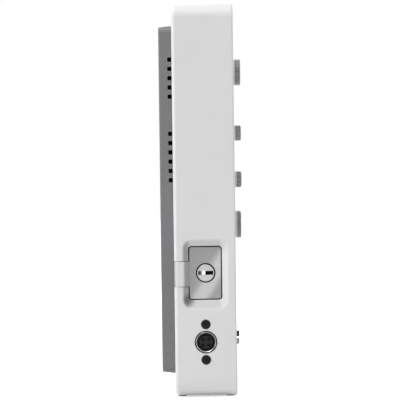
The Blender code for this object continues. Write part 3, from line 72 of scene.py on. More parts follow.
def tone(red: float, green: float | None = None, blue: float | None = None) -> Colour:
    """Turn a paint colour into the linear values that a shader takes.

    Args:
        red: Red from 0 to 255, or the grey level when it is alone.
        green: Green from 0 to 255.
        blue: Blue from 0 to 255.

    Returns:
        The linear colour.
    """
    levels = [level / 255 for level in (red, red if green is None else green, red if blue is None else blue)]
    return tuple(v / 12.92 if v <= 0.04045 else ((v + 0.055) / 1.055) ** 2.4 for v in levels)


class Axis(Enum):
    """An axis of the frame."""

    X = 0
    Y = 1
    Z = 2

    def point(self, along: float, across: Sequence[float]) -> Vector:
        """Make a point.

        Args:
            along: Its place on this axis.
            across: Its places on the two other axes, in order.

        Returns:
            The point.
        """
        places = list(across)
        places.insert(self.value, along)
        return Vector(places)


X, Y, Z = Axis


class Operation(Enum):
    """How one solid changes another."""

    CUT = "DIFFERENCE"
    JOIN = "UNION"
    KEEP = "INTERSECT"


class Channel(Enum):
    """An input channel and its colour."""

    ONE = (246, 205, 44)
    TWO = (48, 196, 226)
    THREE = (226, 92, 178)
    FOUR = (84, 200, 98)

    @property
    def colour(self) -> Colour:
        """The channel's linear colour."""
        return tone(*self.value)

    @property
    def number(self) -> int:
        """The channel's number, from 1."""
        return list(Channel).index(self) + 1


@dataclass(frozen=True)
class Box:
    """The lowest and highest corners of a node."""

    low: Vector
    high: Vector

    @classmethod
    def of(cls, node: str) -> "Box":
        """The box of a CAD node at rest."""
        return cls(*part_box(node))

    @property
    def centre(self) -> Vector:
        """The middle of the box."""
        return (self.low + self.high) / 2

    @property
    def size(self) -> Vector:
        """The box's three lengths."""
        return self.high - self.low

    def slab(self, axis: Axis, start: float, end: float, grow: float = 0.0, *rounding: object) -> "Solid":
        """A slab with the box's outline across an axis.

        Args:
            axis: The axis.
            start: Where it starts.
            end: Where it ends.
            grow: How far it goes past the box on each side.
            *rounding: Its corner, rims and steps, as Solid.slab takes them.

        Returns:
            The slab.
        """
        low, high = [place - grow for place in self.low], [place + grow for place in self.high]
        low[axis.value], high[axis.value] = start, end
        return Solid.slab(low, high, axis, *rounding)


def boxed(node: str) -> Box:
    """A dataclass field that holds the box of a CAD node."""
    return field(default_factory=lambda: Box.of(node))


@dataclass(frozen=True)
class Ring:
    """One level of a lofted solid: a rounded rectangle across the loft's axis."""

    along: float
    low: Pair
    high: Pair
    radius: float = 0.0

    def place(self, axis: Axis) -> Level:
        """Say where each point of a unit circle goes on this level.

        Args:
            axis: The loft's axis.

        Returns:
            A function from a direction and a number to a point.
        """
        middle = [(a + b) / 2 for a, b in zip(self.low, self.high)]
        straight = [(b - a) / 2 - self.radius for a, b in zip(self.low, self.high)]

        def point(direction: Vector, _: int) -> Vector:
            """The point in a direction."""
            sides = zip(middle, straight, direction)
            return axis.point(self.along, [m + math.copysign(s, d) + self.radius * d for m, s, d in sides])

        return point


def fillet(radius: float, steps: int) -> list[Pair]:
    """Steps of a rounded rim.

    Args:
        radius: Radius of the rim, which is 0 where the edge is crisp.
        steps: Number of facets.

    Returns:
        For each level, how far it is from the end face and how far in from the side.
    """
    angles = [math.pi / 2 * i / steps for i in range(steps + 1)] if radius else [0.0]
    return [(radius * (1 - math.cos(a)), radius * (1 - math.sin(a))) for a in angles]


def arc(centre: Pair, radius: float, first: float, last: float, steps: int = 12) -> list[Pair]:
    """Points of an arc.

    Args:
        centre: Its centre.
        radius: Its radius.
        first: Angle of its first point, in degrees from the first axis.
        last: Angle of its last point.
        steps: Number of facets.

    Returns:
        The points.
    """
    angles = [math.radians(first + (last - first) * i / steps) for i in range(steps + 1)]
    return [(centre[0] + radius * math.cos(a), centre[1] + radius * math.sin(a)) for a in angles]


class Solid:
    """A closed mesh in the making, in metres in the frame's own axes."""

    def __init__(self) -> None:
        """Start with no mesh."""
        self.shape = bmesh.new()

    @classmethod
    def raised(cls, segments: int, levels: Sequence[Level]) -> "Solid":
        """Raise a circle of points through levels and close both ends.

        Args:
            segments: Number of points in the circle.
            levels: For each level, a function from a point's direction and number to its place.

        Returns:
            The solid.
        """
        solid = cls()
        shape = solid.shape
        ring = bmesh.ops.create_circle(shape, cap_ends=False, radius=1.0, segments=segments)["verts"]
        bmesh.ops.rotate(shape, cent=(0, 0, 0), matrix=Matrix.Rotation(math.pi / segments, 3, "Z"),
                         verts=ring)
        around = {vert: (vert.co.xy.copy(), number) for number, vert in enumerate(ring)}
        rim = list(shape.edges)
        for number, level in enumerate(levels):
            if number:
                before = set(ring)
                grown = bmesh.ops.extrude_edge_only(shape, edges=rim)["geom"]
                ring = [item for item in grown if isinstance(item, bmesh.types.BMVert)]
                fresh = set(ring)
                rim = [item for item in grown if isinstance(item, bmesh.types.BMEdge)
                       and all(vert in fresh for vert in item.verts)]
                for vert in ring:
                    below = next(edge.other_vert(vert) for edge in vert.link_edges
                                 if edge.other_vert(vert) in before)
                    around[vert] = around[below]
            for vert in ring:
                vert.co = level(*around[vert])
        bmesh.ops.holes_fill(shape, edges=shape.edges, sides=0)
        bmesh.ops.remove_doubles(shape, verts=shape.verts, dist=WELD)
        return solid

    @classmethod
    def loft(cls, axis: Axis, rings: Sequence[Ring], quarter: int = 6) -> "Solid":
        """Loft rounded rectangles, given from end to end, with quarter points in each of their corners."""
        return cls.raised(4 * quarter, [ring.place(axis) for ring in rings])

    @classmethod
    def slab(cls, low: Sequence[float], high: Sequence[float], axis: Axis = Y, corner: float = 0.0,
             soft: Pair = (0.0, 0.0), steps: int = 4, quarter: int = 6) -> "Solid":
        """A box with rounded corners along an axis and rounded rims at its two ends.

        Args:
            low: Its lowest corner.
            high: Its highest corner.
            axis: The axis that the corners run along.
            corner: Radius of the corners.
            soft: Radius of the rim at the lower end and at the upper end.
            steps: Facets of each rim.
            quarter: Points in each corner.

        Returns:
            The solid.
        """
        across = [i for i in range(3) if i != axis.value]
        start, end = low[axis.value], high[axis.value]
        levels = [(start + a, inset) for a, inset in fillet(soft[0], steps)]
        levels += [(end - a, inset) for a, inset in reversed(fillet(soft[1], steps))]
        corner = max(corner, soft[0], soft[1])
        rings = [Ring(along, tuple(low[i] + inset for i in across), tuple(high[i] - inset for i in across),
                      max(corner - inset, 0.0)) for along, inset in levels]
        return cls.loft(axis, rings, quarter if corner else 1)

    @classmethod
    def turned(cls, profile: Sequence[Pair], centre: Sequence[float], axis: Axis, steps: int = 48,
               ring: bool = False) -> "Solid":
        """Spin a profile about a line through a point.

        Args:
            profile: Places along the axis and radii, from one end to the other.
            centre: A point on the line.
            axis: The line's direction.
            steps: Facets round the line.
            ring: Whether the profile's ends are joined, for a solid with a hole along the line.

        Returns:
            The solid.
        """
        solid = cls()
        shape = solid.shape
        side = (axis.value + 1) % 3
        points = []
        for along, radius in profile:
            place = list(centre)
            place[axis.value] = along
            place[side] += radius
            points.append(shape.verts.new(place))
        edges = [shape.edges.new(pair) for pair in zip(points, points[1:])]
        if ring:
            edges.append(shape.edges.new((points[-1], points[0])))
        turn = axis.point(1.0, (0.0, 0.0))
        bmesh.ops.spin(shape, geom=points + edges, cent=centre, axis=turn, dvec=(0, 0, 0), angle=2 * math.pi,
                       steps=steps, use_merge=True, use_normal_flip=False, use_duplicate=False)
        bmesh.ops.remove_doubles(shape, verts=shape.verts, dist=WELD)
        return solid

    @classmethod
    def rod(cls, start: float, end: float, radius: float, centre: Sequence[float], axis: Axis,
            soft: float = 0.0, steps: int = 32) -> "Solid":
        """A cylinder with rounded rims.

        Args:
            start: Where it starts along the axis.
            end: Where it ends.
            radius: Its radius.
            centre: A point on its axis.
            axis: Its direction.
            soft: Radius of the rims.
            steps: Facets round the axis.

        Returns:
            The solid.
        """
        rim = fillet(soft, 3)
        profile = [(start, 0.0)] + [(start + a, radius - inset) for a, inset in rim]
        profile += [(end - a, radius - inset) for a, inset in reversed(rim)] + [(end, 0.0)]
        return cls.turned(profile, centre, axis, steps)

    @classmethod
    def extruded(cls, outline: Sequence[Pair], axis: Axis, start: float, end: float) -> "Solid":
        """Extrude an outline.

        Args:
            outline: Its corners, as places on the two other axes.
            axis: The direction.
            start: Where it starts.
            end: Where it ends.

        Returns:
            The solid.
        """
        solid = cls()
        face = solid.shape.faces.new([solid.shape.verts.new(axis.point(start, pair)) for pair in outline])
        grown = bmesh.ops.extrude_face_region(solid.shape, geom=[face])["geom"]
        moved = [item for item in grown if isinstance(item, bmesh.types.BMVert)]
        bmesh.ops.translate(solid.shape, vec=axis.point(end - start, (0.0, 0.0)), verts=moved)
        return solid

    @classmethod
    def gathered(cls, solids: Iterable["Solid"]) -> "Solid":
        """Put solids that don't touch into one.

        Args:
            solids: The solids, which are used up.

        Returns:
            The one solid.
        """
        whole = cls()
        for solid in solids:
            mesh = solid.to_mesh("gathered")
            whole.shape.from_mesh(mesh)
            bpy.data.meshes.remove(mesh)
        return whole

    def to_mesh(self, name: str) -> bpy.types.Mesh:
        """Turn the solid into a mesh with its faces outwards, and free it.

        Args:
            name: The mesh's name.

        Returns:
            The mesh.
        """
        bmesh.ops.recalc_face_normals(self.shape, faces=self.shape.faces)
        mesh = bpy.data.meshes.new(name)
        self.shape.to_mesh(mesh)
        self.shape.free()
        return mesh

    def combine(self, operation: Operation, *others: "Solid") -> "Solid":
        """Change this solid with others that don't touch each other.

        Args:
            operation: Whether they are cut out of it, joined to it, or bound what is kept of it.
            *others: The solids, which are used up.

        Returns:
            This solid.
        """
        objects = []
        for name, mesh in (("target", self.to_mesh("target")),
                           ("tool", Solid.gathered(others).to_mesh("tool"))):
            made = bpy.data.objects.new(name, mesh)
            bpy.context.scene.collection.objects.link(made)
            objects.append(made)
        modifier = objects[0].modifiers.new("combine", "BOOLEAN")
        modifier.operation = operation.value
        modifier.solver = "EXACT"
        modifier.object = objects[1]
        bpy.context.view_layer.update()
        seen = objects[0].evaluated_get(bpy.context.evaluated_depsgraph_get())
        result = bpy.data.meshes.new_from_object(seen)
        self.shape = bmesh.new()
        self.shape.from_mesh(result)
        bmesh.ops.dissolve_degenerate(self.shape, dist=WELD, edges=self.shape.edges)
        for made in objects:
            mesh = made.data
            bpy.data.objects.remove(made)
            bpy.data.meshes.remove(mesh)
        bpy.data.meshes.remove(result)
        return self

    def cut(self, *others: "Solid") -> "Solid":
        """Cut solids out of this one and return it."""
        return self.combine(Operation.CUT, *others)

    def join(self, *others: "Solid") -> "Solid":
        """Join solids to this one and return it."""
        return self.combine(Operation.JOIN, *others)

    def rotated(self, degrees: float, axis: Axis, centre: Sequence[float]) -> "Solid":
        """Turn the solid.

        Args:
            degrees: The angle.
            axis: The direction of the line that it turns about.
            centre: A point on that line.

        Returns:
            This solid.
        """
        bmesh.ops.rotate(self.shape, cent=centre, matrix=Matrix.Rotation(math.radians(degrees), 3, axis.name),
                         verts=self.shape.verts)
        return self


# ================================================================ finishes
@dataclass(frozen=True)
class Value:
    """An output socket of a node tree, which arithmetic can be done with."""

    tree: NodeTree
    socket: bpy.types.NodeSocket

    def math(self, operation: str, *others: "Value | float") -> "Value":
        """Add a Math node.

        Args:
            operation: Its operation.
            *others: Its inputs after this value.

        Returns:
            Its result.
        """
        node = self.tree.nodes.new("ShaderNodeMath")
        node.operation = operation
        for socket, item in zip(node.inputs, (self, *others)):
            feed(self.tree, socket, item)
        return Value(self.tree, node.outputs[0])

    def __add__(self, other: "Value | float") -> "Value":
        """The sum."""
        return self.math("ADD", other)

    def __sub__(self, other: "Value | float") -> "Value":
        """The difference."""
        return self.math("SUBTRACT", other)

    def __mul__(self, other: "Value | float") -> "Value":
        """The product."""
        return self.math("MULTIPLY", other)

    def __truediv__(self, other: "Value | float") -> "Value":
        """The quotient."""
        return self.math("DIVIDE", other)

    def size(self) -> "Value":
        """The value without its sign."""
        return self.math("ABSOLUTE")

    def below(self, limit: "Value | float") -> "Value":
        """1 where the value is below a limit."""
        return self.math("LESS_THAN", limit)

    def to_line(self, pitch: float) -> "Value":
        """The distance to the nearest of many lines a pitch apart."""
        return ((self / pitch + 0.5).math("FRACT") - 0.5).size() * pitch

    def inside(self, middle: float, half: float) -> "Value":
        """1 where the value is within half of a middle."""
        return (self - middle).size().below(half)

    def eased(self, low: float, high: float) -> "Value":
        """0 below low, 1 above high, and a smooth step between them.

        Args:
            low: Where the step starts.
            high: Where it ends.

        Returns:
            The step.
        """
        node = self.tree.nodes.new("ShaderNodeMapRange")
        node.interpolation_type = "SMOOTHSTEP"
        for socket, item in zip(node.inputs, (self, low, high, 0.0, 1.0)):
            feed(self.tree, socket, item)
        return Value(self.tree, node.outputs[0])


def feed(tree: NodeTree, socket: bpy.types.NodeSocket, item: object) -> None:
    """Link a value to a socket, or set the socket to a constant.

    Args:
        tree: The node tree.
        socket: The input socket.
        item: A Value, or what the socket is set to.
    """
    if isinstance(item, Value):
        tree.links.new(item.socket, socket)
    elif socket.type == "RGBA" and len(item) == 3:
        socket.default_value = (*item, 1.0)
    else:
        socket.default_value = item


@dataclass(frozen=True)
class Graph:
    """A node tree being filled."""

    tree: NodeTree

    def fill(self, node: Node, **inputs: object) -> Node:
        """Link or set a node's inputs.

        Args:
            node: The node.
            **inputs: Values or constants by the input's name, with _ for a space.

        Returns:
            The node.
        """
        for name, item in inputs.items():
            feed(self.tree, node.inputs[name.replace("_", " ")], item)
        return node

    def add(self, kind: str, settings: dict[str, object] | None = None, **inputs: object) -> Node:
        """Add a node.

        Args:
            kind: Its type without ShaderNode.
            settings: Its properties.
            **inputs: Its inputs, as fill takes them.

        Returns:
            The node.
        """
        node = self.tree.nodes.new(f"ShaderNode{kind}")
        for name, setting in (settings or {}).items():
            setattr(node, name, setting)
        return self.fill(node, **inputs)

    def out(self, node: Node, name: str | int = 0) -> Value:
        """One of a node's outputs."""
        return Value(self.tree, node.outputs[name])

    def axes(self, vector: Value) -> list[Value]:
        """A vector's X, Y and Z."""
        split = self.add("SeparateXYZ", Vector=vector)
        return [self.out(split, number) for number in range(3)]

    def mix(self, factor: "Value | float", first: object, second: object) -> Value:
        """Mix two colours.

        Args:
            factor: Share of the second one.
            first: A Value or a colour.
            second: A Value or a colour.

        Returns:
            The mixed colour.
        """
        node = self.add("Mix", {"data_type": "RGBA"})
        for number, item in ((0, factor), (6, first), (7, second)):
            feed(self.tree, node.inputs[number], item)
        return self.out(node, 2)

    def coords(self, location: Sequence[float] = (0, 0, 0), scale: Sequence[float] = (1, 1, 1)) -> Value:
        """Object coordinates through a Mapping node's shift and scale."""
        place = self.out(self.add("TexCoord"), "Object")
        return self.out(self.add("Mapping", Vector=place, Location=location, Scale=scale))

    def noise(self, vector: Value, scale: "Value | float", detail: float = 2.0) -> Value:
        """A noise's grey value from 0 to 1, with its scale and its octaves of detail."""
        return self.out(self.add("TexNoise", Vector=vector, Scale=scale, Detail=detail), "Fac")

    def relief(self, height: Value, depth: "Value | float", strength: float = 1.0) -> Value:
        """A Bump node's normal, for a height from 0 to 1 that is a depth in metres."""
        return self.out(self.add("Bump", Height=height, Distance=depth, Strength=strength))


class Effects:
    """Shader node groups that several finishes share, each built once."""

    SURFACE = {"Colour": "Color", "Roughness": "Float", "Normal": "Vector"}
    TONES = {"Vector": "Vector", "Colour": "Color", "Cloud": "Color", "Depth": "Float", "Roughness": "Float"}
    MASK = {"Mask": "Float"}

    @staticmethod
    def _group(name: str, inputs: dict[str, str],
               outputs: dict[str, str]) -> tuple[Graph, dict[str, Value], Node]:
        """Start a node group.

        Args:
            name: Its name.
            inputs: Its inputs, each with its socket type.
            outputs: Its outputs, each with its socket type.

        Returns:
            A graph on the group, its inputs as values, and its output node.
        """
        tree = bpy.data.node_groups.new(name, "ShaderNodeTree")
        for side, sockets in (("INPUT", inputs), ("OUTPUT", outputs)):
            for label, kind in sockets.items():
                tree.interface.new_socket(label, in_out=side, socket_type=f"NodeSocket{kind}")
        start, end = tree.nodes.new("NodeGroupInput"), tree.nodes.new("NodeGroupOutput")
        return Graph(tree), {label: Value(tree, start.outputs[label]) for label in inputs}, end

    @classmethod
    @cache
    def moulded(cls) -> NodeTree:
        """Moulded plastic: clouded colour, uneven roughness and a pebbled grain.

        Returns:
            The group.
        """
        inputs = {**cls.TONES, "Patch": "Float", "Grain": "Float"}
        graph, given, end = cls._group("moulded_grain", inputs, cls.SURFACE)
        cloud = graph.noise(given["Vector"], given["Patch"], 3.0)
        pebbles = graph.noise(given["Vector"], given["Grain"], 1.0)
        mottle = (cloud * 0.75 + pebbles * 0.25).eased(0.3, 0.7)
        graph.fill(end, Colour=graph.mix(mottle, given["Colour"], given["Cloud"]),
                   Roughness=given["Roughness"] + (cloud - 0.5) * 0.16,
                   Normal=graph.relief(pebbles, given["Depth"], 0.6))
        return graph.tree

    @classmethod
    @cache
    def machined(cls) -> NodeTree:
        """Machined metal: fine streaks, smudges and the small relief that goes with them.

        Returns:
            The group.
        """
        graph, given, end = cls._group("machined_marks", {**cls.TONES, "Streak Vector": "Vector"},
                                       cls.SURFACE)
        streaks = graph.noise(given["Streak Vector"], 1.0, 3.0)
        smudge = graph.noise(given["Vector"], 220.0, 3.0)
        mottle = (streaks * 0.6 + smudge * 0.4).eased(0.3, 0.7)
        graph.fill(end, Colour=graph.mix(mottle, given["Colour"], given["Cloud"]),
                   Roughness=given["Roughness"] + (smudge - 0.5) * 0.14 + (streaks - 0.5) * 0.1,
                   Normal=graph.relief(streaks, given["Depth"], 0.5))
        return graph.tree

    @classmethod
    @cache
    def rubbed(cls) -> NodeTree:
        """Lighter outer edges, partly rubbed wear and partly painted edge highlight: a mask that is 1 along
        outer edges, broken up a little.

        Returns:
            The group.
        """
        graph, given, end = cls._group("rubbed_edges", {"Vector": "Vector", "Amount": "Float"}, cls.MASK)
        flat = graph.out(graph.add("NewGeometry"), "Normal")
        turned = graph.add("VectorMath", {"operation": "DOT_PRODUCT"}, Vector=flat)
        feed(graph.tree, turned.inputs[1], graph.out(graph.add("Bevel", {"samples": 6}, Radius=0.0005)))
        bend = graph.out(turned, "Value") * -1.0 + 1.0
        lighter_edges = bend.eased(0.02, 0.25) * graph.noise(given["Vector"], 900.0, 2.0).eased(0.35, 0.6)
        graph.fill(end, Mask=lighter_edges * given["Amount"])
        return graph.tree

    @classmethod
    @cache
    def dusty(cls) -> NodeTree:
        """Painted recess shade: a mask from ambient occlusion that grows where a surface is closed in.

        Returns:
            The group.
        """
        graph, given, end = cls._group("dusty_recesses", {"Vector": "Vector", "Reach": "Float"}, cls.MASK)
        shade = graph.add("AmbientOcclusion", {"samples": 8, "only_local": True}, Distance=given["Reach"])
        closed = (graph.out(shade, "AO") * -1.0 + 1.0).eased(0.02, 0.5)
        graph.fill(end, Mask=closed * (graph.noise(given["Vector"], 260.0) * 0.3 + 0.85))
        return graph.tree


@dataclass(frozen=True)
class Finish:
    """What a piece is finished with, and the record's material slot that it belongs to."""

    name: str
    slot: str

    def material(self) -> bpy.types.Material:
        """The finish's material, made when it is first asked for.

        Returns:
            The material.
        """
        if self.name in bpy.data.materials:
            return bpy.data.materials[self.name]
        made = bpy.data.materials.new(self.name)
        made.use_nodes = True
        shader = made.node_tree.nodes["Principled BSDF"]
        self.paint(Graph(made.node_tree), shader)
        return made

    def paint(self, graph: Graph, shader: Node) -> None:
        """Fill in the shader.

        Args:
            graph: The material's nodes.
            shader: Its Principled BSDF.
        """
        raise NotImplementedError


@dataclass(frozen=True)
class Plastic(Finish):
    """Moulded plastic or rubber with a fine grain."""

    colour: Colour
    cloud: Colour
    roughness: float = 0.45
    patch: float = 14.0
    grain: float = 3200.0
    depth: float = 0.00004
    rubbed: Colour | None = None
    specular: float = 0.5
    dust: Colour | None = None

    def paint(self, graph: Graph, shader: Node) -> None:
        """Fill in the shader with clouded colour, grain and wear.

        Args:
            graph: The material's nodes.
            shader: Its Principled BSDF.
        """
        place = graph.coords()
        grain = graph.add("Group", {"node_tree": Effects.moulded()}, Vector=place, Colour=self.colour,
                          Cloud=self.cloud, Patch=self.patch, Grain=self.grain, Depth=self.depth,
                          Roughness=self.roughness)
        graph.fill(shader, Base_Color=self.aged(graph, place, graph.out(grain, "Colour")),
                   Roughness=graph.out(grain, "Roughness"), Normal=graph.out(grain, "Normal"),
                   Specular_IOR_Level=self.specular)

    def aged(self, graph: Graph, place: Value, colour: Value) -> Value:
        """Add lighter edges, partly wear and partly painted highlight, and painted shade in recesses.

        Args:
            graph: The material's nodes.
            place: Object coordinates.
            colour: The colour so far.

        Returns:
            The colour with its lighter edges and painted recess shade.
        """
        # lighter outer edges: partly wear, partly a painted edge highlight
        if self.rubbed is not None:
            edges = graph.add("Group", {"node_tree": Effects.rubbed()}, Vector=place, Amount=0.7)
            colour = graph.mix(graph.out(edges, "Mask"), colour, self.rubbed)
        # painted shade: darker where ambient occlusion finds the surface closed in
        if self.dust is not None:
            closed = graph.add("Group", {"node_tree": Effects.dusty()}, Vector=place, Reach=0.006)
            colour = graph.mix(graph.out(closed, "Mask"), colour, self.dust)
        return colour


@dataclass(frozen=True)
class HatchPlastic(Plastic):
    """The hatch's plastic: its plate is painted greyer as shade where it lies sunk in the pocket, and paler
    in a leaning band as a painted highlight.
    """

    # the plate's colour where it is sunk in the pocket: painted shade
    plate: Colour = tone(161, 161, 160)
    polished: Colour = tone(206, 206, 205)
    step: Pair = (0.0, 0.0)  # where along X the plate's painted shade starts and is full
    thumb: Pair = (0.0, 0.0)  # Y and Z of the painted highlight band's middle
    sweep: float = math.radians(31)  # how far the band leans from the vertical
    band: Pair = (0.0015, 0.0062)  # where across the band it starts to fade and has faded

    def aged(self, graph: Graph, place: Value, colour: Value) -> Value:
        """Add the plate's painted shade and painted highlight band, lighter edges and painted recess shade.

        Args:
            graph: The material's nodes.
            place: Object coordinates.
            colour: The colour so far.

        Returns:
            The colour with its painted shade, painted highlight and lighter edges.
        """
        x, y, z = graph.axes(place)
        across = (y - self.thumb[0]) * -math.cos(self.sweep) - (z - self.thumb[1]) * math.sin(self.sweep)
        # the sunk plate is painted greyer as shade, with a paler band across it as a painted highlight
        plate = graph.mix(across.size().eased(*self.band), self.polished, self.plate)
        return super().aged(graph, place, graph.mix(x.eased(*self.step), colour, plate))


@dataclass(frozen=True)
class ShellPlastic(Plastic):
    """The shell's plastic, with painted shade in the hatch's pocket, most of it at the pocket's rear, and a
    painted shadow in its lower rear corner.
    """

    grime: Colour = tone(160, 160, 158)
    low: Triple = (0.0, 0.0, 0.0)  # of the pocket
    high: Triple = (0.0, 0.0, 0.0)
    slopes: Pair = (0.0, 0.0)  # where along Y the front slope ends and the rear slope starts
    corner: Triple = (0.0, 0.0, 0.0)  # the pocket's lower rear corner, where the painted shadow is darkest
    gathered: Pair = (0.0008, 0.0048)  # how far from the corner the painted shadow starts to thin and has gone
    shares: Triple = (0.1, 0.2, 0.6)  # of painted shade at the front, and what the floor and the rear slope add

    def aged(self, graph: Graph, place: Value, colour: Value) -> Value:
        """Add the pocket's painted shade, the corner's painted shadow, lighter edges and painted recess
        shade.

        Args:
            graph: The material's nodes.
            place: Object coordinates.
            colour: The colour so far.

        Returns:
            The colour with its painted shade and lighter edges.
        """
        x, y, z = graph.axes(place)
        inside = x.eased(self.low[0], self.low[0] + 0.0006)
        for along, low, high in zip((x, y, z), self.low, self.high):
            inside = inside * along.inside((low + high) / 2, (high - low) / 2)
        (front, rear), (least, floor, slope) = self.slopes, self.shares
        share = y.eased(front - 0.001, front + 0.004) * floor + y.eased(rear - 0.001, rear + 0.001) * slope
        reach = graph.add("VectorMath", {"operation": "DISTANCE"}, Vector=place)
        reach.inputs[1].default_value = self.corner
        near = graph.out(reach, "Value").eased(*self.gathered) * -0.8 + 0.8
        # painted shade in the pocket, strongest on the rear slope, and a painted shadow at its lower rear
        # corner
        pocket_shaded = graph.mix(inside * (share + least), colour, self.grime)
        return super().aged(graph, place, graph.mix(inside * near, pocket_shaded, self.dust))


@dataclass(frozen=True)
class Metal(Finish):
    """Metal with machining marks that run along an axis, or rings round it where it was turned."""

    colour: Colour
    cloud: Colour
    roughness: float = 0.28
    streak: Sequence[float] = (3000.0, 3000.0, 120.0)
    depth: float = 0.00001
    turned_about: Triple | None = None
    axis: Axis = X

    def paint(self, graph: Graph, shader: Node) -> None:
        """Fill in the shader with streaks, or with turning marks.

        Args:
            graph: The material's nodes.
            shader: Its Principled BSDF.
        """
        place = graph.coords()
        if self.turned_about is None:
            streaks = graph.coords(scale=self.streak)
        else:
            flat = [0.0 if i == self.axis.value else 1.0 for i in range(3)]
            centred = graph.coords(location=[-c * f for c, f in zip(self.turned_about, flat)], scale=flat)
            radius = graph.out(graph.add("VectorMath", {"operation": "LENGTH"}, Vector=centred), "Value")
            streaks = graph.out(graph.add("CombineXYZ", X=radius * 4500.0))
        marks = graph.add("Group", {"node_tree": Effects.machined()}, Streak_Vector=streaks, Vector=place,
                          Colour=self.colour, Cloud=self.cloud, Depth=self.depth, Roughness=self.roughness)
        graph.fill(shader, Base_Color=graph.out(marks, "Colour"), Roughness=graph.out(marks, "Roughness"),
                   Normal=graph.out(marks, "Normal"), Metallic=1.0)


@dataclass(frozen=True)
class CircuitBoard(Finish):
    """Solder mask over copper tracks, with bare pads."""

    mask: Colour = tone(18, 86, 52)
    copper: Colour = tone(34, 116, 70)
    pad: Colour = tone(205, 190, 150)

    def paint(self, graph: Graph, shader: Node) -> None:
        """Fill in the shader with tracks and pads.

        Args:
            graph: The material's nodes.
            shader: Its Principled BSDF.
        """
        place = graph.coords()
        cells = graph.add("TexVoronoi", {"feature": "F1", "distance": "MANHATTAN"}, Vector=place, Scale=300.0)
        tracks = graph.out(cells, "Distance").to_line(0.16).below(0.035)
        spots = graph.add("TexVoronoi", {"feature": "F1"}, Vector=place, Scale=420.0, Randomness=0.35)
        dots = graph.out(spots, "Distance").below(0.16)
        graph.fill(shader, Base_Color=graph.mix(dots, graph.mix(tracks, self.mask, self.copper), self.pad),
                   Roughness=graph.noise(place, 400.0) * 0.25 + 0.25,
                   Normal=graph.relief(tracks, 0.00004, 0.5), Metallic=dots)


@dataclass(frozen=True)
class LightGuide(Finish):
    """A clear plastic window with a lamp behind it, brightest in the middle of its grain."""

    colour: Colour
    strength: float = 0.9

    def paint(self, graph: Graph, shader: Node) -> None:
        """Fill in the shader with a clouded glow.

        Args:
            graph: The material's nodes.
            shader: Its Principled BSDF.
        """
        cloud = graph.noise(graph.coords(), 700.0).eased(0.2, 0.8)
        colour = graph.mix(cloud, tuple(level * 0.6 for level in self.colour), self.colour)
        graph.fill(shader, Base_Color=colour, Emission_Color=colour, Roughness=cloud * 0.1 + 0.2,
                   Emission_Strength=self.strength)


@dataclass(frozen=True)
class Trace:
    """A waveform on the screen, in millimetres from the screen's middle."""

    channel: Channel
    rest: float  # height of its zero line
    swing: float
    period: float

    def path(self, along: Value) -> tuple[Value, Value]:
        """The waveform's height and its slope.

        Args:
            along: Place along the time axis.

        Returns:
            The height and the slope, as values.
        """
        turn = 2 * math.pi / self.period
        angle = along * turn
        sine, cosine = angle.math("SINE"), angle.math("COSINE")
        if self.channel is Channel.ONE:
            steep = 9.0
            flat = (sine * steep).math("TANH")
            edge = (flat * flat * -1.0 + 1.0) * cosine
            return flat * self.swing + self.rest, edge * (self.swing * steep * turn)
        if self.channel is Channel.TWO:
            return sine * self.swing + self.rest, cosine * (self.swing * turn)
        if self.channel is Channel.THREE:
            swell = (along * along * (-1 / 1300)).math("EXPONENT")
            return sine * swell * self.swing + self.rest, cosine * swell * (self.swing * turn)
        ramp = along.to_line(self.period) * (4 * self.swing / self.period) - self.swing
        return ramp + self.rest, ramp * 0.0 + 4 * self.swing / self.period


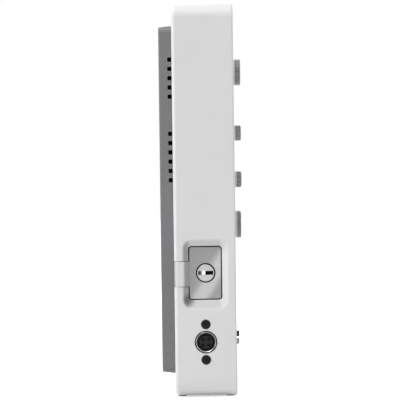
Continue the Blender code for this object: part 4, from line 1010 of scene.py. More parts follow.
@dataclass(frozen=True)
class LitScreen(Finish):
    """Cover glass: a black border round a lit picture with a graticule and four waveforms."""

    middle: Triple = (0.0, 0.0, 0.0)
    half: Pair = (108.5, 67.8)  # of the lit area, in millimetres
    graph_half: Pair = (105.0, 54.0)
    graph_rise: float = 1.0
    pitch: Pair = (15.0, 13.5)
    fine_pitch: Pair = (3.0, 2.7)
    dashes: Pair = (1.5, 1.35)
    hair: float = 0.13  # half the width of a grid line
    tick: float = 0.8  # half the length of a tick on the axes
    traces: tuple[Trace, ...] = (
        Trace(Channel.ONE, 36.0, 8.0, 30.0), Trace(Channel.TWO, 12.0, 10.5, 42.0),
        Trace(Channel.THREE, -14.0, 10.5, 9.0), Trace(Channel.FOUR, -38.0, 7.5, 22.5))

    def paint(self, graph: Graph, shader: Node) -> None:
        """Fill in the shader with the border, the picture and faint smears.

        Args:
            graph: The material's nodes.
            shader: Its Principled BSDF.
        """
        scale = 1 / MM
        place = graph.coords(location=[-c * scale for c in self.middle], scale=(scale, scale, scale))
        across, _, up = graph.axes(place)
        lit = across.inside(0.0, self.half[0]) * up.inside(0.0, self.half[1])
        picture = self._bars(graph, across, up, self._graph(graph, across, up))
        smear = graph.noise(graph.coords(), 35.0, 3.0)
        graph.fill(shader, Base_Color=graph.mix(smear.eased(0.3, 0.8), tone(15, 16, 18), tone(22, 23, 26)),
                   Emission_Color=graph.mix(lit, (0.0, 0.0, 0.0), picture),
                   Roughness=smear.eased(0.45, 0.75) * 0.07 + 0.05, Emission_Strength=0.95)

    def _graph(self, graph: Graph, across: Value, up: Value) -> Value:
        """The graticule and the waveforms.

        Args:
            graph: The material's nodes.
            across: Millimetres right of the middle.
            up: Millimetres above it.

        Returns:
            The picture's colour.
        """
        rise = up - self.graph_rise
        field_mask = across.inside(0.0, self.graph_half[0] + 0.2) * rise.inside(0.0, self.graph_half[1] + 0.2)
        places = (across, rise)
        lines, ticks = ([place.to_line(pitch).below(self.hair) for place, pitch in zip(places, pitches)]
                        for pitches in (self.pitch, self.fine_pitch))
        dashes = [(place / dash).math("FRACT").below(0.5) for place, dash in zip(places, self.dashes)]
        lines = (lines[0] * dashes[1]).math("MAXIMUM", lines[1] * dashes[0])
        near = [place.size().below(self.tick) for place in places]
        ticks = (ticks[0] * near[1]).math("MAXIMUM", ticks[1] * near[0])
        axes = across.size().below(0.14).math("MAXIMUM", rise.size().below(0.14)).math("MAXIMUM", ticks)
        glow = graph.noise(graph.coords(), 9.0).eased(0.2, 0.8)
        picture = graph.mix(field_mask, tone(30, 33, 40), graph.mix(glow, tone(7, 9, 13), tone(11, 13, 18)))
        picture = graph.mix(lines * field_mask, picture, tone(74, 80, 90))
        picture = graph.mix(axes * field_mask, picture, tone(120, 126, 136))
        for trace in self.traces:
            height, slope = trace.path(across)
            distance = (up - height).size() / (slope * slope + 1.0).math("SQRT")
            reach = field_mask * up.inside(trace.rest, trace.swing + 0.4)
            stroke = (distance.eased(0.22, 0.62) * -1.0 + 1.0) * reach
            halo = (distance.eased(0.3, 1.6) * -0.3 + 0.3) * reach
            picture = graph.mix(stroke, graph.mix(halo, picture, trace.channel.colour), trace.channel.colour)
            mark = across.inside(-103.6, 1.5) * up.inside(trace.rest, 1.3)
            picture = graph.mix(mark, picture, trace.channel.colour)
        return picture

    def _bars(self, graph: Graph, across: Value, up: Value, picture: Value) -> Value:
        """The status bars above and below the graph, with bare blocks where a maker prints values.

        Args:
            graph: The material's nodes.
            across: Millimetres right of the middle.
            up: Millimetres above it.
            picture: The picture so far.

        Returns:
            The picture with the bars.
        """
        quiet, bright = tone(58, 63, 72), tone(150, 156, 166)
        blocks = [(-98.0, 61.8, 8.0, 3.6, tone(40, 150, 78)), (-72.0, 61.8, 13.0, 3.6, quiet),
                  (-40.0, 61.8, 13.0, 3.6, quiet), (60.0, 61.8, 15.0, 3.6, quiet),
                  (94.0, 61.8, 11.0, 3.6, quiet), (100.5, 61.8, 2.6, 1.4, bright),
                  (60.0, -60.2, 13.0, 5.2, quiet), (90.0, -60.2, 13.0, 5.2, quiet)]
        for channel in Channel:
            middle = -92.0 + 31.0 * (channel.number - 1)
            blocks += [(middle, -60.2, 13.5, 5.2, quiet), (middle - 10.5, -60.2, 2.4, 4.4, channel.colour),
                       (middle + 3.6, -56.6, 9.0, 0.5, channel.colour)]
        for middle, height, half_width, half_height, colour in blocks:
            mask = across.inside(middle, half_width) * up.inside(height, half_height)
            picture = graph.mix(mask, picture, colour)
        return picture


# colour of the painted shade in recesses and in the hatch pocket's lower rear corner
RECESS_SHADE = tone(86, 85, 83)
WHITE_PANEL = Plastic("front_panel_plastic", "white_plastic", tone(224), tone(229, 229, 228), roughness=0.4,
                      patch=16.0, grain=3400.0, depth=0.00002)
GREY = Plastic("grey_cover_plastic", "grey_plastic", tone(115, 115, 117), tone(110, 110, 112), roughness=0.55,
               patch=18.0, grain=2600.0, depth=0.00002, rubbed=tone(132, 132, 134))
PALE_TERMINAL = Plastic("pale_terminal_plastic", "grey_plastic", tone(176), tone(168), roughness=0.4,
                        patch=60.0, grain=3600.0)
KNOB = Plastic("ribbed_knob_plastic", "knob_plastic", tone(138, 138, 142), tone(130, 130, 134), roughness=0.2,
               patch=60.0, grain=4000.0, depth=0.00001, rubbed=tone(178, 178, 181), specular=1.0)
KNOB_SKIRT = Plastic("knob_skirt_plastic", "knob_plastic", tone(228, 228, 229), tone(222, 222, 223),
                     roughness=0.4, patch=60.0, grain=4000.0)
KEY_CAP = Plastic("key_cap_plastic", "key_plastic", tone(186, 187, 190), tone(180, 181, 185), roughness=0.48,
                  patch=40.0, grain=4200.0, depth=0.00002, rubbed=tone(205))
PRINT = Plastic("panel_print", "grey_plastic", tone(118, 120, 124), tone(108, 110, 114), roughness=0.5,
                patch=200.0, grain=5000.0)
BLACK = Plastic("black_plastic_satin", "black_plastic", tone(32, 32, 33), tone(26, 26, 28), roughness=0.45,
                patch=70.0, grain=3600.0, depth=0.00002, rubbed=tone(50), specular=0.2)
# the screw heads' much lighter edges stand in for highlights: mostly a painted edge highlight
BLACK_SCREW = Plastic("blackened_screw", "black_steel", tone(24, 24, 25), tone(17, 17, 18), roughness=0.34,
                      patch=300.0, grain=6000.0, depth=0.00001, rubbed=tone(96), specular=0.15)
# painted colours for the coin slot's floor: a painted shadow and a painted half shade
SLOT_PAINTED_SHADOW = Plastic("blackened_slot", "black_steel", tone(9), tone(4), roughness=0.7, patch=300.0,
                     grain=6000.0, depth=0.00001, specular=0.05)
SLOT_PAINTED_HALF_SHADE = Plastic("dulled_slot", "steel", tone(66), tone(58), roughness=0.5, patch=300.0, grain=6000.0,
                    depth=0.00001, specular=0.2)
RUBBER = Plastic("soft_rubber", "rubber", tone(34, 34, 35), tone(28, 28, 29), roughness=0.78, patch=50.0,
                 grain=2800.0, depth=0.00006, specular=0.2)
SILICONE = Plastic("keypad_silicone", "rubber", tone(64, 64, 68), tone(56, 56, 60), roughness=0.6, patch=50.0,
                   grain=3000.0)
PTFE = Plastic("white_insulator", "white_plastic", tone(232, 231, 226), tone(224, 223, 217), roughness=0.35,
               patch=300.0, grain=5000.0)
WRAP = Plastic("battery_sleeve", "battery_wrap", tone(38, 52, 84), tone(31, 44, 74), roughness=0.36,
               patch=40.0, grain=900.0, depth=0.00005)
STEEL = Metal("spindle_steel", "steel", (0.58, 0.58, 0.59), (0.5, 0.5, 0.51), roughness=0.3,
              streak=(120.0, 3200.0, 3200.0))
NICKEL = Metal("nickel_plate", "nickel", (0.5, 0.48, 0.45), (0.42, 0.4, 0.37), roughness=0.28,
               streak=(160.0, 3000.0, 3000.0))
# painted highlight for the middle of the coin slot's floor
SLOT_PAINTED_HIGHLIGHT = Metal("polished_steel", "steel", (0.97, 0.97, 0.97), (0.93, 0.93, 0.93), roughness=0.2)
GOLD = Metal("gold_contact", "nickel", (0.78, 0.57, 0.24), (0.7, 0.5, 0.2), roughness=0.24,
             streak=(200.0, 3000.0, 3000.0))
ALUMINIUM = Metal("brushed_aluminium", "aluminium", (0.62, 0.63, 0.64), (0.54, 0.55, 0.56), roughness=0.36,
                  streak=(60.0, 2600.0, 2600.0))
BOARD = CircuitBoard("printed_circuit", "circuit_board")
INLET_SCREWS = ("inlet_screw_upper", "inlet_screw_lower")


@dataclass
class SubAssembly:
    """Pieces that belong together."""

    shell: Box = boxed("main_housing")

    def add(self, name: str, solid: Solid, finish: Finish, *nodes: str,
            body: str = "housing") -> bpy.types.Object:
        """Turn a solid into a finished piece of a body.

        Args:
            name: The piece's name.
            solid: Its shape, which is used up.
            finish: Its finish.
            *nodes: The CAD nodes that it stands for.
            body: The CAD body that it moves with.

        Returns:
            The piece.
        """
        mesh = solid.to_mesh(name)
        mesh.shade_smooth()
        mesh.set_sharp_from_angle(angle=SHARP)
        mesh.materials.append(finish.material())
        piece = bpy.data.objects.new(name, mesh)
        bpy.context.scene.collection.objects.link(piece)
        weighted = piece.modifiers.new("face_weighted_shading", "WEIGHTED_NORMAL")
        weighted.keep_sharp = True
        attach(piece, body)
        if nodes:
            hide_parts(*nodes)
        LOG.info("%s: %d faces, rides on %s", name, len(mesh.polygons), body)
        return piece

    def dress(self, finish: Finish, *nodes: str) -> None:
        """Give CAD nodes that stay their finish.

        Args:
            finish: The finish.
            *nodes: The nodes.
        """
        for node in nodes:
            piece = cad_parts[node]
            piece.data.materials.clear()
            piece.data.materials.append(finish.material())
            LOG.info("%s: kept, finished in %s", node, finish.name)

    def build(self) -> None:
        """Build and dress the pieces."""
        raise NotImplementedError


def bar(axis: Axis, start: float, end: float, middle: Pair, widths: Pair, corner: float = 0.0,
        soft: Pair = (0.0, 0.0)) -> Solid:
    """A slab round a line along an axis.

    Args:
        axis: The axis.
        start: Where it starts.
        end: Where it ends.
        middle: The line's place on the two other axes, in order.
        widths: The slab's widths along them.
        corner: Radius of its corners.
        soft: Radii of its rims at the start and at the end.

    Returns:
        The slab.
    """
    low, high = ([place + side * width / 2 for place, width in zip(middle, widths)] for side in (-1, 1))
    low.insert(axis.value, start)
    high.insert(axis.value, end)
    return Solid.slab(low, high, axis, corner, soft)


@dataclass
class Hatch(SubAssembly):
    """Battery door in its pocket, its coin lock and hinge pin, the bay and the battery."""

    gap: float = 0.0006
    corner: float = 0.0012
    pocket_depth: float = 0.0023
    thickness: float = 0.0018
    trim: Pair = (0.00045, 0.0002)  # how far the plate stops short at its front, and at its top and bottom
    tab_height: float = 0.0134
    tab_drop: float = 0.0005
    tab_slope: float = 0.0048
    rear_edge: float = 0.002
    pin_radius: float = 0.0009
    lip: float = 0.0012
    head_radius: float = 0.0046
    head_ring: float = 0.0007
    head_rim: float = 0.00025
    coin_radius: float = 0.0072
    coin_thickness: float = 0.0021
    coin_depth: float = 0.0014
    coin_shift: float = 0.0001  # towards the front
    floor_skin: Pair = (0.00002, 0.00012)  # how far in from the coin the strips on the slot's floor lie
    hub_radius: float = 0.003
    flange_thickness: float = 0.0008
    cam: Triple = (0.0018, 0.0001, 0.0027)  # where it starts and ends before the lock's back; half its width
    door: Box = boxed("hatch_door")
    lock: Box = boxed("coin_lock")
    bay: Box = boxed("battery_bay")

    @property
    def face(self) -> float:
        """Where the door's outer face is."""
        return self.shell.low.x + self.pocket_depth

    @property
    def inner(self) -> float:
        """Where the door's inner face is."""
        return self.face + self.thickness

    @property
    def centre(self) -> Vector:
        """The lock's axis on the door's face."""
        return Vector((self.face, self.lock.centre.y, self.door.centre.z))

    @property
    def hinge(self) -> Vector:
        """The middle of the hinge pin."""
        shell, edge = self.shell, self.rear_edge
        return Vector((shell.low.x + edge, shell.high.y - edge, self.door.centre.z))

    @property
    def plate(self) -> tuple[Pair, Pair]:
        """Lowest and highest Y and Z of the door's plate."""
        low, high, (front, ends) = self.door.low, self.door.high, self.trim
        return (low.y + front, low.z + ends), (self.bay.high.y, high.z - ends)

    def seat(self, x0: float, x1: float, grow: float) -> Solid:
        """A slab with the door plate's outline.

        Args:
            x0: Where it starts.
            x1: Where it ends.
            grow: How much larger it is on each side.

        Returns:
            The slab.
        """
        low, high = self.plate
        return Solid.slab((x0, low[0] - grow, low[1] - grow), (x1, high[0] + grow, high[1] + grow), X,
                          max(self.corner + grow, 0.0002))

    def build(self) -> None:
        """Build the door and the lock, and dress what is behind them."""
        centre = tuple(self.centre)
        # the hatch's finish paints shade on the sunk plate, a highlight band across it, and shade in recesses
        plastic = HatchPlastic("hatch_plastic", "white_plastic", tone(220), tone(224, 224, 223),
                               roughness=0.38, patch=24.0, grain=3000.0, depth=0.00002, dust=RECESS_SHADE,
                               step=(self.shell.low.x + 0.0001, self.shell.low.x + 0.0009),
                               thumb=(centre[1] - 0.0025, centre[2] - 0.0042))
        self.add("battery_hatch", self.door_solid(), plastic, "hatch_door", body="hatch_door")
        lock_metal = Metal("lock_steel", "steel", (0.5, 0.5, 0.5), (0.4, 0.4, 0.41), roughness=0.3,
                           turned_about=centre)
        self.add("coin_slot_lock", self.lock_solid(), lock_metal, "coin_lock", body="coin_lock")
        # painted strips on the coin slot's floor: shadow at the front, highlight in the middle, half shade at
        # the rear and end; the rear strip takes the grey cover's plastic
        painted_slot_strips = {"front": (-self.coin_radius, 0.0001, SLOT_PAINTED_SHADOW), "middle": (0.0003, 0.0018, SLOT_PAINTED_HIGHLIGHT),
                  "rear": (0.0023, 0.0030, GREY), "end": (0.0030, self.coin_radius, SLOT_PAINTED_HALF_SHADE)}
        for name, (start, end, finish) in painted_slot_strips.items():
            self.add(f"coin_slot_{name}", self.slot_floor(start, end), finish, body="coin_lock")
        # a dark rubber ring in the gap round the lock's head, put there as painted shade
        inner, outer = self.head_radius + 0.00004, self.head_radius + self.head_ring - 0.00004
        lock_gap_shade = Solid.turned([(self.face + 0.0005, inner), (self.face + 0.0003, (inner + outer) / 2),
                             (self.face + 0.0005, outer), (self.inner, outer), (self.inner, inner)], centre,
                            X, 64, ring=True)
        self.add("lock_seal", lock_gap_shade, RUBBER, body="hatch_door")
        # a dark rubber sheet behind the gap round the door, put there as painted shade
        gasket = self.seat(self.inner + 0.00005, self.inner + GAP - 0.00005, self.gap - 0.00005)
        gasket.cut(self.seat(self.inner - OVER, self.inner + OVER, 0.0002 - self.lip))
        self.add("hatch_gasket", gasket, RUBBER)
        self.dress(STEEL, "hatch_pin")
        self.dress(BLACK, "battery_bay")
        self.dress(WRAP, "battery_pack")
        self.battery_end()

    def door_solid(self) -> Solid:
        """The T-shaped door with its knuckle.

        Returns:
            The door.
        """
        low, high = self.plate
        plate_end, slope = high[0], self.shell.high.y - self.tab_slope
        plate = Solid.slab((self.face, *low), (self.inner, *high), X, self.corner, (0.0002, 0.0), 3)
        hinge, half = self.hinge, self.tab_height / 2
        outline = [(self.inner, plate_end - OVER), (self.face, plate_end - OVER), (self.face, plate_end),
                   (self.shell.low.x, slope), *arc((hinge.x, hinge.y), self.rear_edge, 180, -90, 30),
                   (hinge.x, slope), (self.inner, plate_end)]
        middle = hinge.z - self.tab_drop
        plate.join(Solid.extruded(outline, Z, middle - half, middle + half))
        return plate.cut(
            Solid.rod(hinge.z - 2 * half, hinge.z + 2 * half, self.pin_radius, hinge, Z, steps=20),
            Solid.rod(self.face - OVER, self.inner + OVER, self.head_radius + self.head_ring, self.centre, X,
                      steps=64))

    def lock_solid(self) -> Solid:
        """The lock's head with its coin slot, its flange and its cam.

        Returns:
            The lock.
        """
        centre, face, seat, back = self.centre, self.face, self.inner + GAP, self.lock.high.x
        flange, under = self.lock.high.z - centre.z, seat + self.flange_thickness
        rim = [(face + a, self.head_radius - inset) for a, inset in fillet(self.head_rim, 3)]
        profile = [(face, 0.0), *rim, (seat, self.head_radius), (seat, flange), (under, flange),
                   (under, self.hub_radius), (back, self.hub_radius), (back, 0.0)]
        head = Solid.turned(profile, centre, X, 64)
        start, end, half = self.cam
        head.join(Solid.slab((back - start, centre.y - half, self.lock.low.z),
                             (back - end, centre.y + half, centre.z), X, 0.001))
        return head.cut(self.coin(0.0, self.coin_thickness / 2))

    def coin(self, inset: float, half: float) -> Solid:
        """A coin in the lock's slot.

        Args:
            inset: How much smaller than the coin that cut the slot it is.
            half: Half of its thickness.

        Returns:
            The coin.
        """
        x, y, z = self.centre
        middle = Vector((x + self.coin_depth - self.coin_radius, y - self.coin_shift, z))
        return Solid.rod(z - half, z + half, self.coin_radius - inset, middle, Z, steps=96)

    def slot_floor(self, start: float, end: float) -> Solid:
        """A strip on the coin slot's floor, painted bright in the middle as a highlight and dark at its ends
        as shade.

        Args:
            start: Where it starts behind the lock's axis.
            end: Where it ends.

        Returns:
            The strip.
        """
        face, (_, y, z), reach = self.face + 0.0001, self.centre, 2 * self.coin_radius
        above, below = self.floor_skin
        strip = self.coin(above, self.coin_thickness / 2 - above).cut(self.coin(below, reach))
        return strip.combine(Operation.KEEP,
                             Solid.slab((face, y + start, z - reach), (face + reach, y + end, z + reach)))

    def battery_end(self) -> None:
        """The battery's end cap with its contacts, seen when the hatch is open."""
        pack = Box.of("battery_pack")
        end, y, z = pack.low.x, pack.centre.y, pack.centre.z
        self.add("battery_end_cap", pack.slab(X, end - 0.0002, end + 0.001, -0.001, 0.0015, (0.0001, 0.0)),
                 BLACK)
        pads = [bar(X, end - 0.00035, end, (y, z + step), (0.008, 0.0024), 0.0004)
                for step in (-0.008, 0.0, 0.008)]
        self.add("battery_contacts", Solid.gathered(pads), GOLD)


@dataclass
class Casing(SubAssembly):
    """White shell with the hatch's pocket, and the rubber strips that it stands on."""

    hatch: Hatch = field(default_factory=Hatch)
    wall: float = 0.0022
    corner: float = 0.008
    front_edge: float = 0.001
    rear_edge: float = 0.002
    ledge_width: float = 0.0018
    ledge_front: float = 0.0027  # from the front face
    ledge_thickness: float = 0.002
    cover_land: float = 0.008
    block_margin: float = 0.0085
    block_depth: float = 0.0059  # of the block behind the hatch, from the side face
    pocket_grow: tuple[float, ...] = (0.0033, 0.0034, 0.0056, 0.0039)  # at the front, rear, bottom and top
    pocket_rim: float = 0.0034
    inlet_radius: float = 0.0061
    screw_radius: float = 0.0017
    screw_head: float = 0.00265
    screw_seat: float = 0.001
    input_radius: float = 0.0049
    pin_reach: float = 0.0043  # of the hinge pin's bore past the hatch's tab

    def outline(self, inset: float, y0: float, y1: float, soft: Pair = (0.0, 0.0)) -> Solid:
        """A slab with the shell's outline less an inset, and with soft front and rear rims."""
        return self.shell.slab(Y, y0, y1, -inset, self.corner - inset, soft, 6, 12)

    def plastic(self) -> ShellPlastic:
        """The shell's finish.

        Returns:
            The finish, with the pocket's place.
        """
        left, (front, rear, down, up) = self.shell.low.x, self.pocket_grow
        low, high = self.pocket_floor()
        start = (left + 0.00005, low[0] - front, low[1] - down)
        end = (left + self.block_depth, high[0] + rear, high[1] + up)
        # the shell's finish paints shade in the hatch's pocket and a shadow in its lower rear corner
        return ShellPlastic("white_shell_plastic", "white_plastic", tone(221), tone(225, 225, 224),
                            roughness=0.42, patch=11.0, grain=2600.0, depth=0.00003, dust=RECESS_SHADE, low=start,
                            high=end, slopes=(low[0], high[0]), corner=(left + 0.0012, high[0], low[1]))

    def pocket_floor(self) -> tuple[Pair, Pair]:
        """Lowest and highest Y and Z of the pocket's floor."""
        (low, high), gap = self.hatch.plate, self.hatch.gap
        return (low[0] - gap, low[1] - gap), (high[0] + gap, high[1] + gap)

    def pocket(self) -> Solid:
        """The cutter of the recess round the hatch, with soft edges at its rim and floor.

        Returns:
            The cutter.
        """
        hatch = self.hatch
        gap, left = hatch.gap, self.shell.low.x
        low, high = self.pocket_floor()
        front, rear, down, up = self.pocket_grow
        stages = [(1.0, 0.0), (0.94, 0.03), (0.86, 0.09), (0.76, 0.18), (0.5, 0.43), (0.28, 0.65),
                  (0.14, 0.8), (0.05, 0.92), (0.01, 0.99), (-0.2, 1.0)]
        rings = [Ring(left + depth * hatch.pocket_depth, (low[0] - front * grow, low[1] - down * grow),
                      (high[0] + rear * grow, high[1] + up * grow),
                      hatch.corner + gap + self.pocket_rim * grow) for depth, grow in stages]
        return Solid.loft(X, rings, 8)

    def casing(self) -> Solid:
        """The shell: side walls, rear wall, front ledge, the hatch's block and every hole.

        Returns:
            The shell.
        """
        low, front, rear, hatch = self.shell.low, self.shell.low.y, self.shell.high.y, self.hatch
        shell = self.outline(0.0, front, rear, (self.front_edge, self.rear_edge))
        ledge = front + self.ledge_front
        behind = ledge + self.ledge_thickness
        for inset, start, end in ((self.wall, front - OVER, ledge),
                                  (self.wall + self.ledge_width, ledge - OVER, behind + OVER),
                                  (self.wall, behind, rear - self.wall)):
            shell.cut(self.outline(inset, start, end))
        shell.cut(Box.of("rear_cover").slab(Y, rear - self.wall - OVER, rear + OVER, -self.cover_land, 0.004))
        door, back, margin = hatch.door, low.x + self.block_depth, self.block_margin
        shell.join(Solid.slab((low.x + self.wall / 2, door.low.y - hatch.lip, door.low.z - margin),
                              (back, rear - self.wall / 2, door.high.z + margin)))
        shell.cut(self.pocket())
        seat = hatch.inner + GAP
        shell.cut(hatch.seat(hatch.face - OVER, seat, hatch.gap))
        shell.cut(hatch.seat(seat - OVER, back + OVER, -hatch.lip))
        hinge, half = hatch.hinge, hatch.tab_height / 2 + GAP
        middle, reach = hinge.z - hatch.tab_drop, hatch.tab_height / 2 + self.pin_reach
        shell.cut(Solid.slab((low.x - OVER, hatch.bay.high.y - hatch.lip / 2, middle - half),
                             (max(seat, hinge.x + self.rear_edge + 0.0004), rear + OVER, middle + half)))
        shell.cut(Solid.rod(hinge.z - reach, hinge.z + reach, hatch.pin_radius, hinge, Z, steps=20))
        shell.cut(*self.side_holes())
        return shell.cut(
            *[Solid.rod(low.x - OVER, low.x + self.screw_seat, self.screw_head, Box.of(node).centre, X)
              for node in INLET_SCREWS])

    def side_holes(self) -> list[Solid]:
        """The holes in the two side walls.

        Returns:
            Their cutters.
        """
        low, high = self.shell.low, self.shell.high
        left, right = (low.x - OVER, low.x + self.wall + OVER), (high.x - self.wall - OVER, high.x + OVER)
        bores = [("dc_inlet_insert", left, self.inlet_radius, 64)]
        bores += [(node, left, self.screw_radius, 32) for node in INLET_SCREWS]
        bores += [(f"bnc_input_{channel.number}", right, self.input_radius, 48) for channel in Channel]
        holes = [Solid.rod(*ends, radius, Box.of(node).centre, X, 0.0, steps)
                 for node, ends, radius, steps in bores]
        return holes + [Box.of(node).slab(X, *right, GAP) for node in ("lan_port", "usb_port")]

    def build(self) -> None:
        """Build the shell and its feet."""
        self.add("casing", self.casing(), self.plastic(), "main_housing")
        for node in ("foot_strip_front", "foot_strip_rear"):
            foot = Box.of(node)
            solid = Solid.slab(foot.low, foot.high, Z, foot.size.y * 0.45, (0.0004, 0.0), 3, 8)
            self.add(node.replace("strip", "pad"), solid, RUBBER, node)


@dataclass
class PowerInlet(SubAssembly):
    """Round power inlet and its two screws."""

    radius: float = 0.0058
    wall: float = 0.0008
    lip: float = 0.00012
    bevel: float = 0.0003  # slope from the cup's lip down to its bore
    depth: float = 0.009
    back: float = 0.002
    flange: float = 0.0018
    flange_corner: float = 0.0028
    hole: float = 0.0009
    hole_depth: float = 0.003
    hole_spacing: float = 0.0032
    pin: Pair = (0.002, 0.0029)  # where a pin starts and ends behind the insert's face
    gasket: float = 0.0004  # width taken off the cup's lip for its dark ring, which paints shade in the gap
    gasket_place: Triple = (0.0008, 0.0015, 0.0016)  # of its face, its back and its seat behind the lip
    play: float = 0.00005  # between the cup and the insert
    collar: float = 0.0006
    block_radius: float = 0.0036
    groove: float = 0.003  # depth of the groove round the block that takes the plug's sleeve
    key: Pair = (0.0006, 0.002)  # half of its width, and its depth
    head_radius: float = 0.00235
    head_depth: float = 0.0007  # of the underside of a screw's head in the wall
    shank: float = 0.0014
    slot_half: float = 0.00027
    cross: Triple = (0.0014, 0.0006, 0.0011)  # reach of its arms at the head and at the bottom; depth
    insert: Box = boxed("dc_inlet_insert")
    metal: Box = boxed("dc_inlet_shell")

    def build(self) -> None:
        """Build the cup, the insert, its pins and the screws."""
        centre, face, front = self.insert.centre, self.metal.low.x, self.insert.low.x
        plate = Metal("inlet_nickel", "nickel", (0.62, 0.6, 0.57), (0.47, 0.45, 0.43), roughness=0.3,
                      turned_about=tuple(centre))
        self.add("inlet_cup", self.cup(), plate, "dc_inlet_shell")
        # a dark rubber ring round the cup's lip, put there as painted shade in the gap
        inner, outer = self.radius - self.gasket + 0.00004, self.radius + 0.00026
        top, bottom = face + self.gasket_place[0], face + self.gasket_place[1]
        gasket = Solid.turned([(top + 0.0001, inner), (top, (inner + outer) / 2), (top + 0.0001, outer),
                               (bottom, outer), (bottom, inner)], centre, X, 64, ring=True)
        self.add("inlet_gasket", gasket, RUBBER)
        half = self.hole_spacing / 2
        places = [(0, centre.y + y, centre.z + z) for y in (-half, half) for z in (-half, half)]
        self.add("inlet_contact_block", self.core(places), BLACK, "dc_inlet_insert")
        start, end = self.pin
        pins = [Solid.rod(front + start, front + end, self.hole * 0.6, place, X, steps=16)
                for place in places]
        self.add("inlet_pins", Solid.gathered(pins), BLACK_SCREW)
        for node, turn in zip(INLET_SCREWS, (27.0, -14.0)):
            name = node.replace("inlet_screw", "crosshead_screw")
            self.add(name, self.screw(Box.of(node), turn), BLACK_SCREW, node)

    def core(self, places: Sequence[Sequence[float]]) -> Solid:
        """The insert: a collar, and a block with holes and a key in the groove round it.

        Args:
            places: A point on each hole's axis.

        Returns:
            The insert.
        """
        centre, front, back = self.insert.centre, self.insert.low.x, self.insert.high.x
        block, reach = self.block_radius, self.radius - self.wall - self.play
        mouth, bottom = self.metal.low.x + self.bevel + 0.0001, front + self.groove
        core = Solid.turned([(front, 0.0), (front, block - self.lip), (front + self.lip, block),
                             (bottom, block), (bottom, reach - self.collar), (mouth, reach - self.collar),
                             (mouth, reach), (back, reach), (back, 0.0)], centre, X, 64)
        half, depth = self.key
        holes = [Solid.rod(front - OVER, front + self.hole_depth, self.hole, place, X, steps=20)
                 for place in places]
        return core.cut(*holes, Solid.slab((front - OVER, centre.y - half, centre.z + block - half),
                                           (front + depth, centre.y + half, centre.z + block + OVER), X))

    def cup(self) -> Solid:
        """The metal cup with its rounded lip and its flange.

        Returns:
            The cup.
        """
        centre, face, bore = self.insert.centre, self.metal.low.x, self.radius - self.wall
        floor, rim, step = face + self.depth, self.radius - self.gasket, face + self.gasket_place[2]
        end = floor + self.back
        profile = [(floor, 0.0), (floor, bore), (face + self.bevel, bore)]
        profile += [(face + a, rim - inset) for a, inset in fillet(self.lip, 4)]
        profile += [(step, rim), (step, self.radius), (end, self.radius), (end, 0.0)]
        cup = Solid.turned(profile, centre, X, 64)
        wall = self.shell.low.x + Casing.wall + GAP
        cup.join(self.metal.slab(X, wall, wall + self.flange, 0.0, self.flange_corner))
        cup.cut(Solid.rod(wall - OVER, floor, bore, centre, X, steps=64))
        return cup.cut(
            *[Solid.rod(wall - OVER, wall + self.flange + OVER, self.shank + PLAY, Box.of(node).centre, X,
                        steps=20) for node in INLET_SCREWS])

    def screw(self, box: Box, turn: float) -> Solid:
        """A screw with a domed cross head.

        Args:
            box: The CAD screw's box.
            turn: How far its cross is turned, in degrees.

        Returns:
            The screw.
        """
        head, under, tip, centre = box.low.x, self.shell.low.x + self.head_depth, box.high.x, box.centre
        dome = ((0.0, 0.0), (0.00003, 0.0008), (0.00012, 0.0014), (0.0003, 0.0019),
                (0.00055, self.head_radius))
        profile = [*((head + a, radius) for a, radius in dome), (under, self.head_radius),
                   (under, self.shank), (tip, self.shank), (tip, 0.0)]
        screw = Solid.turned(profile, centre, X, 40)
        half, (wide, narrow, depth) = self.slot_half, self.cross
        for angle in (turn, turn + 90):
            rings = [Ring(x, (centre.y - reach, centre.z - half), (centre.y + reach, centre.z + half))
                     for x, reach in ((head - OVER, wide), (head + depth, narrow))]
            screw.cut(Solid.loft(X, rings, 1).rotated(angle, X, centre))
        return screw


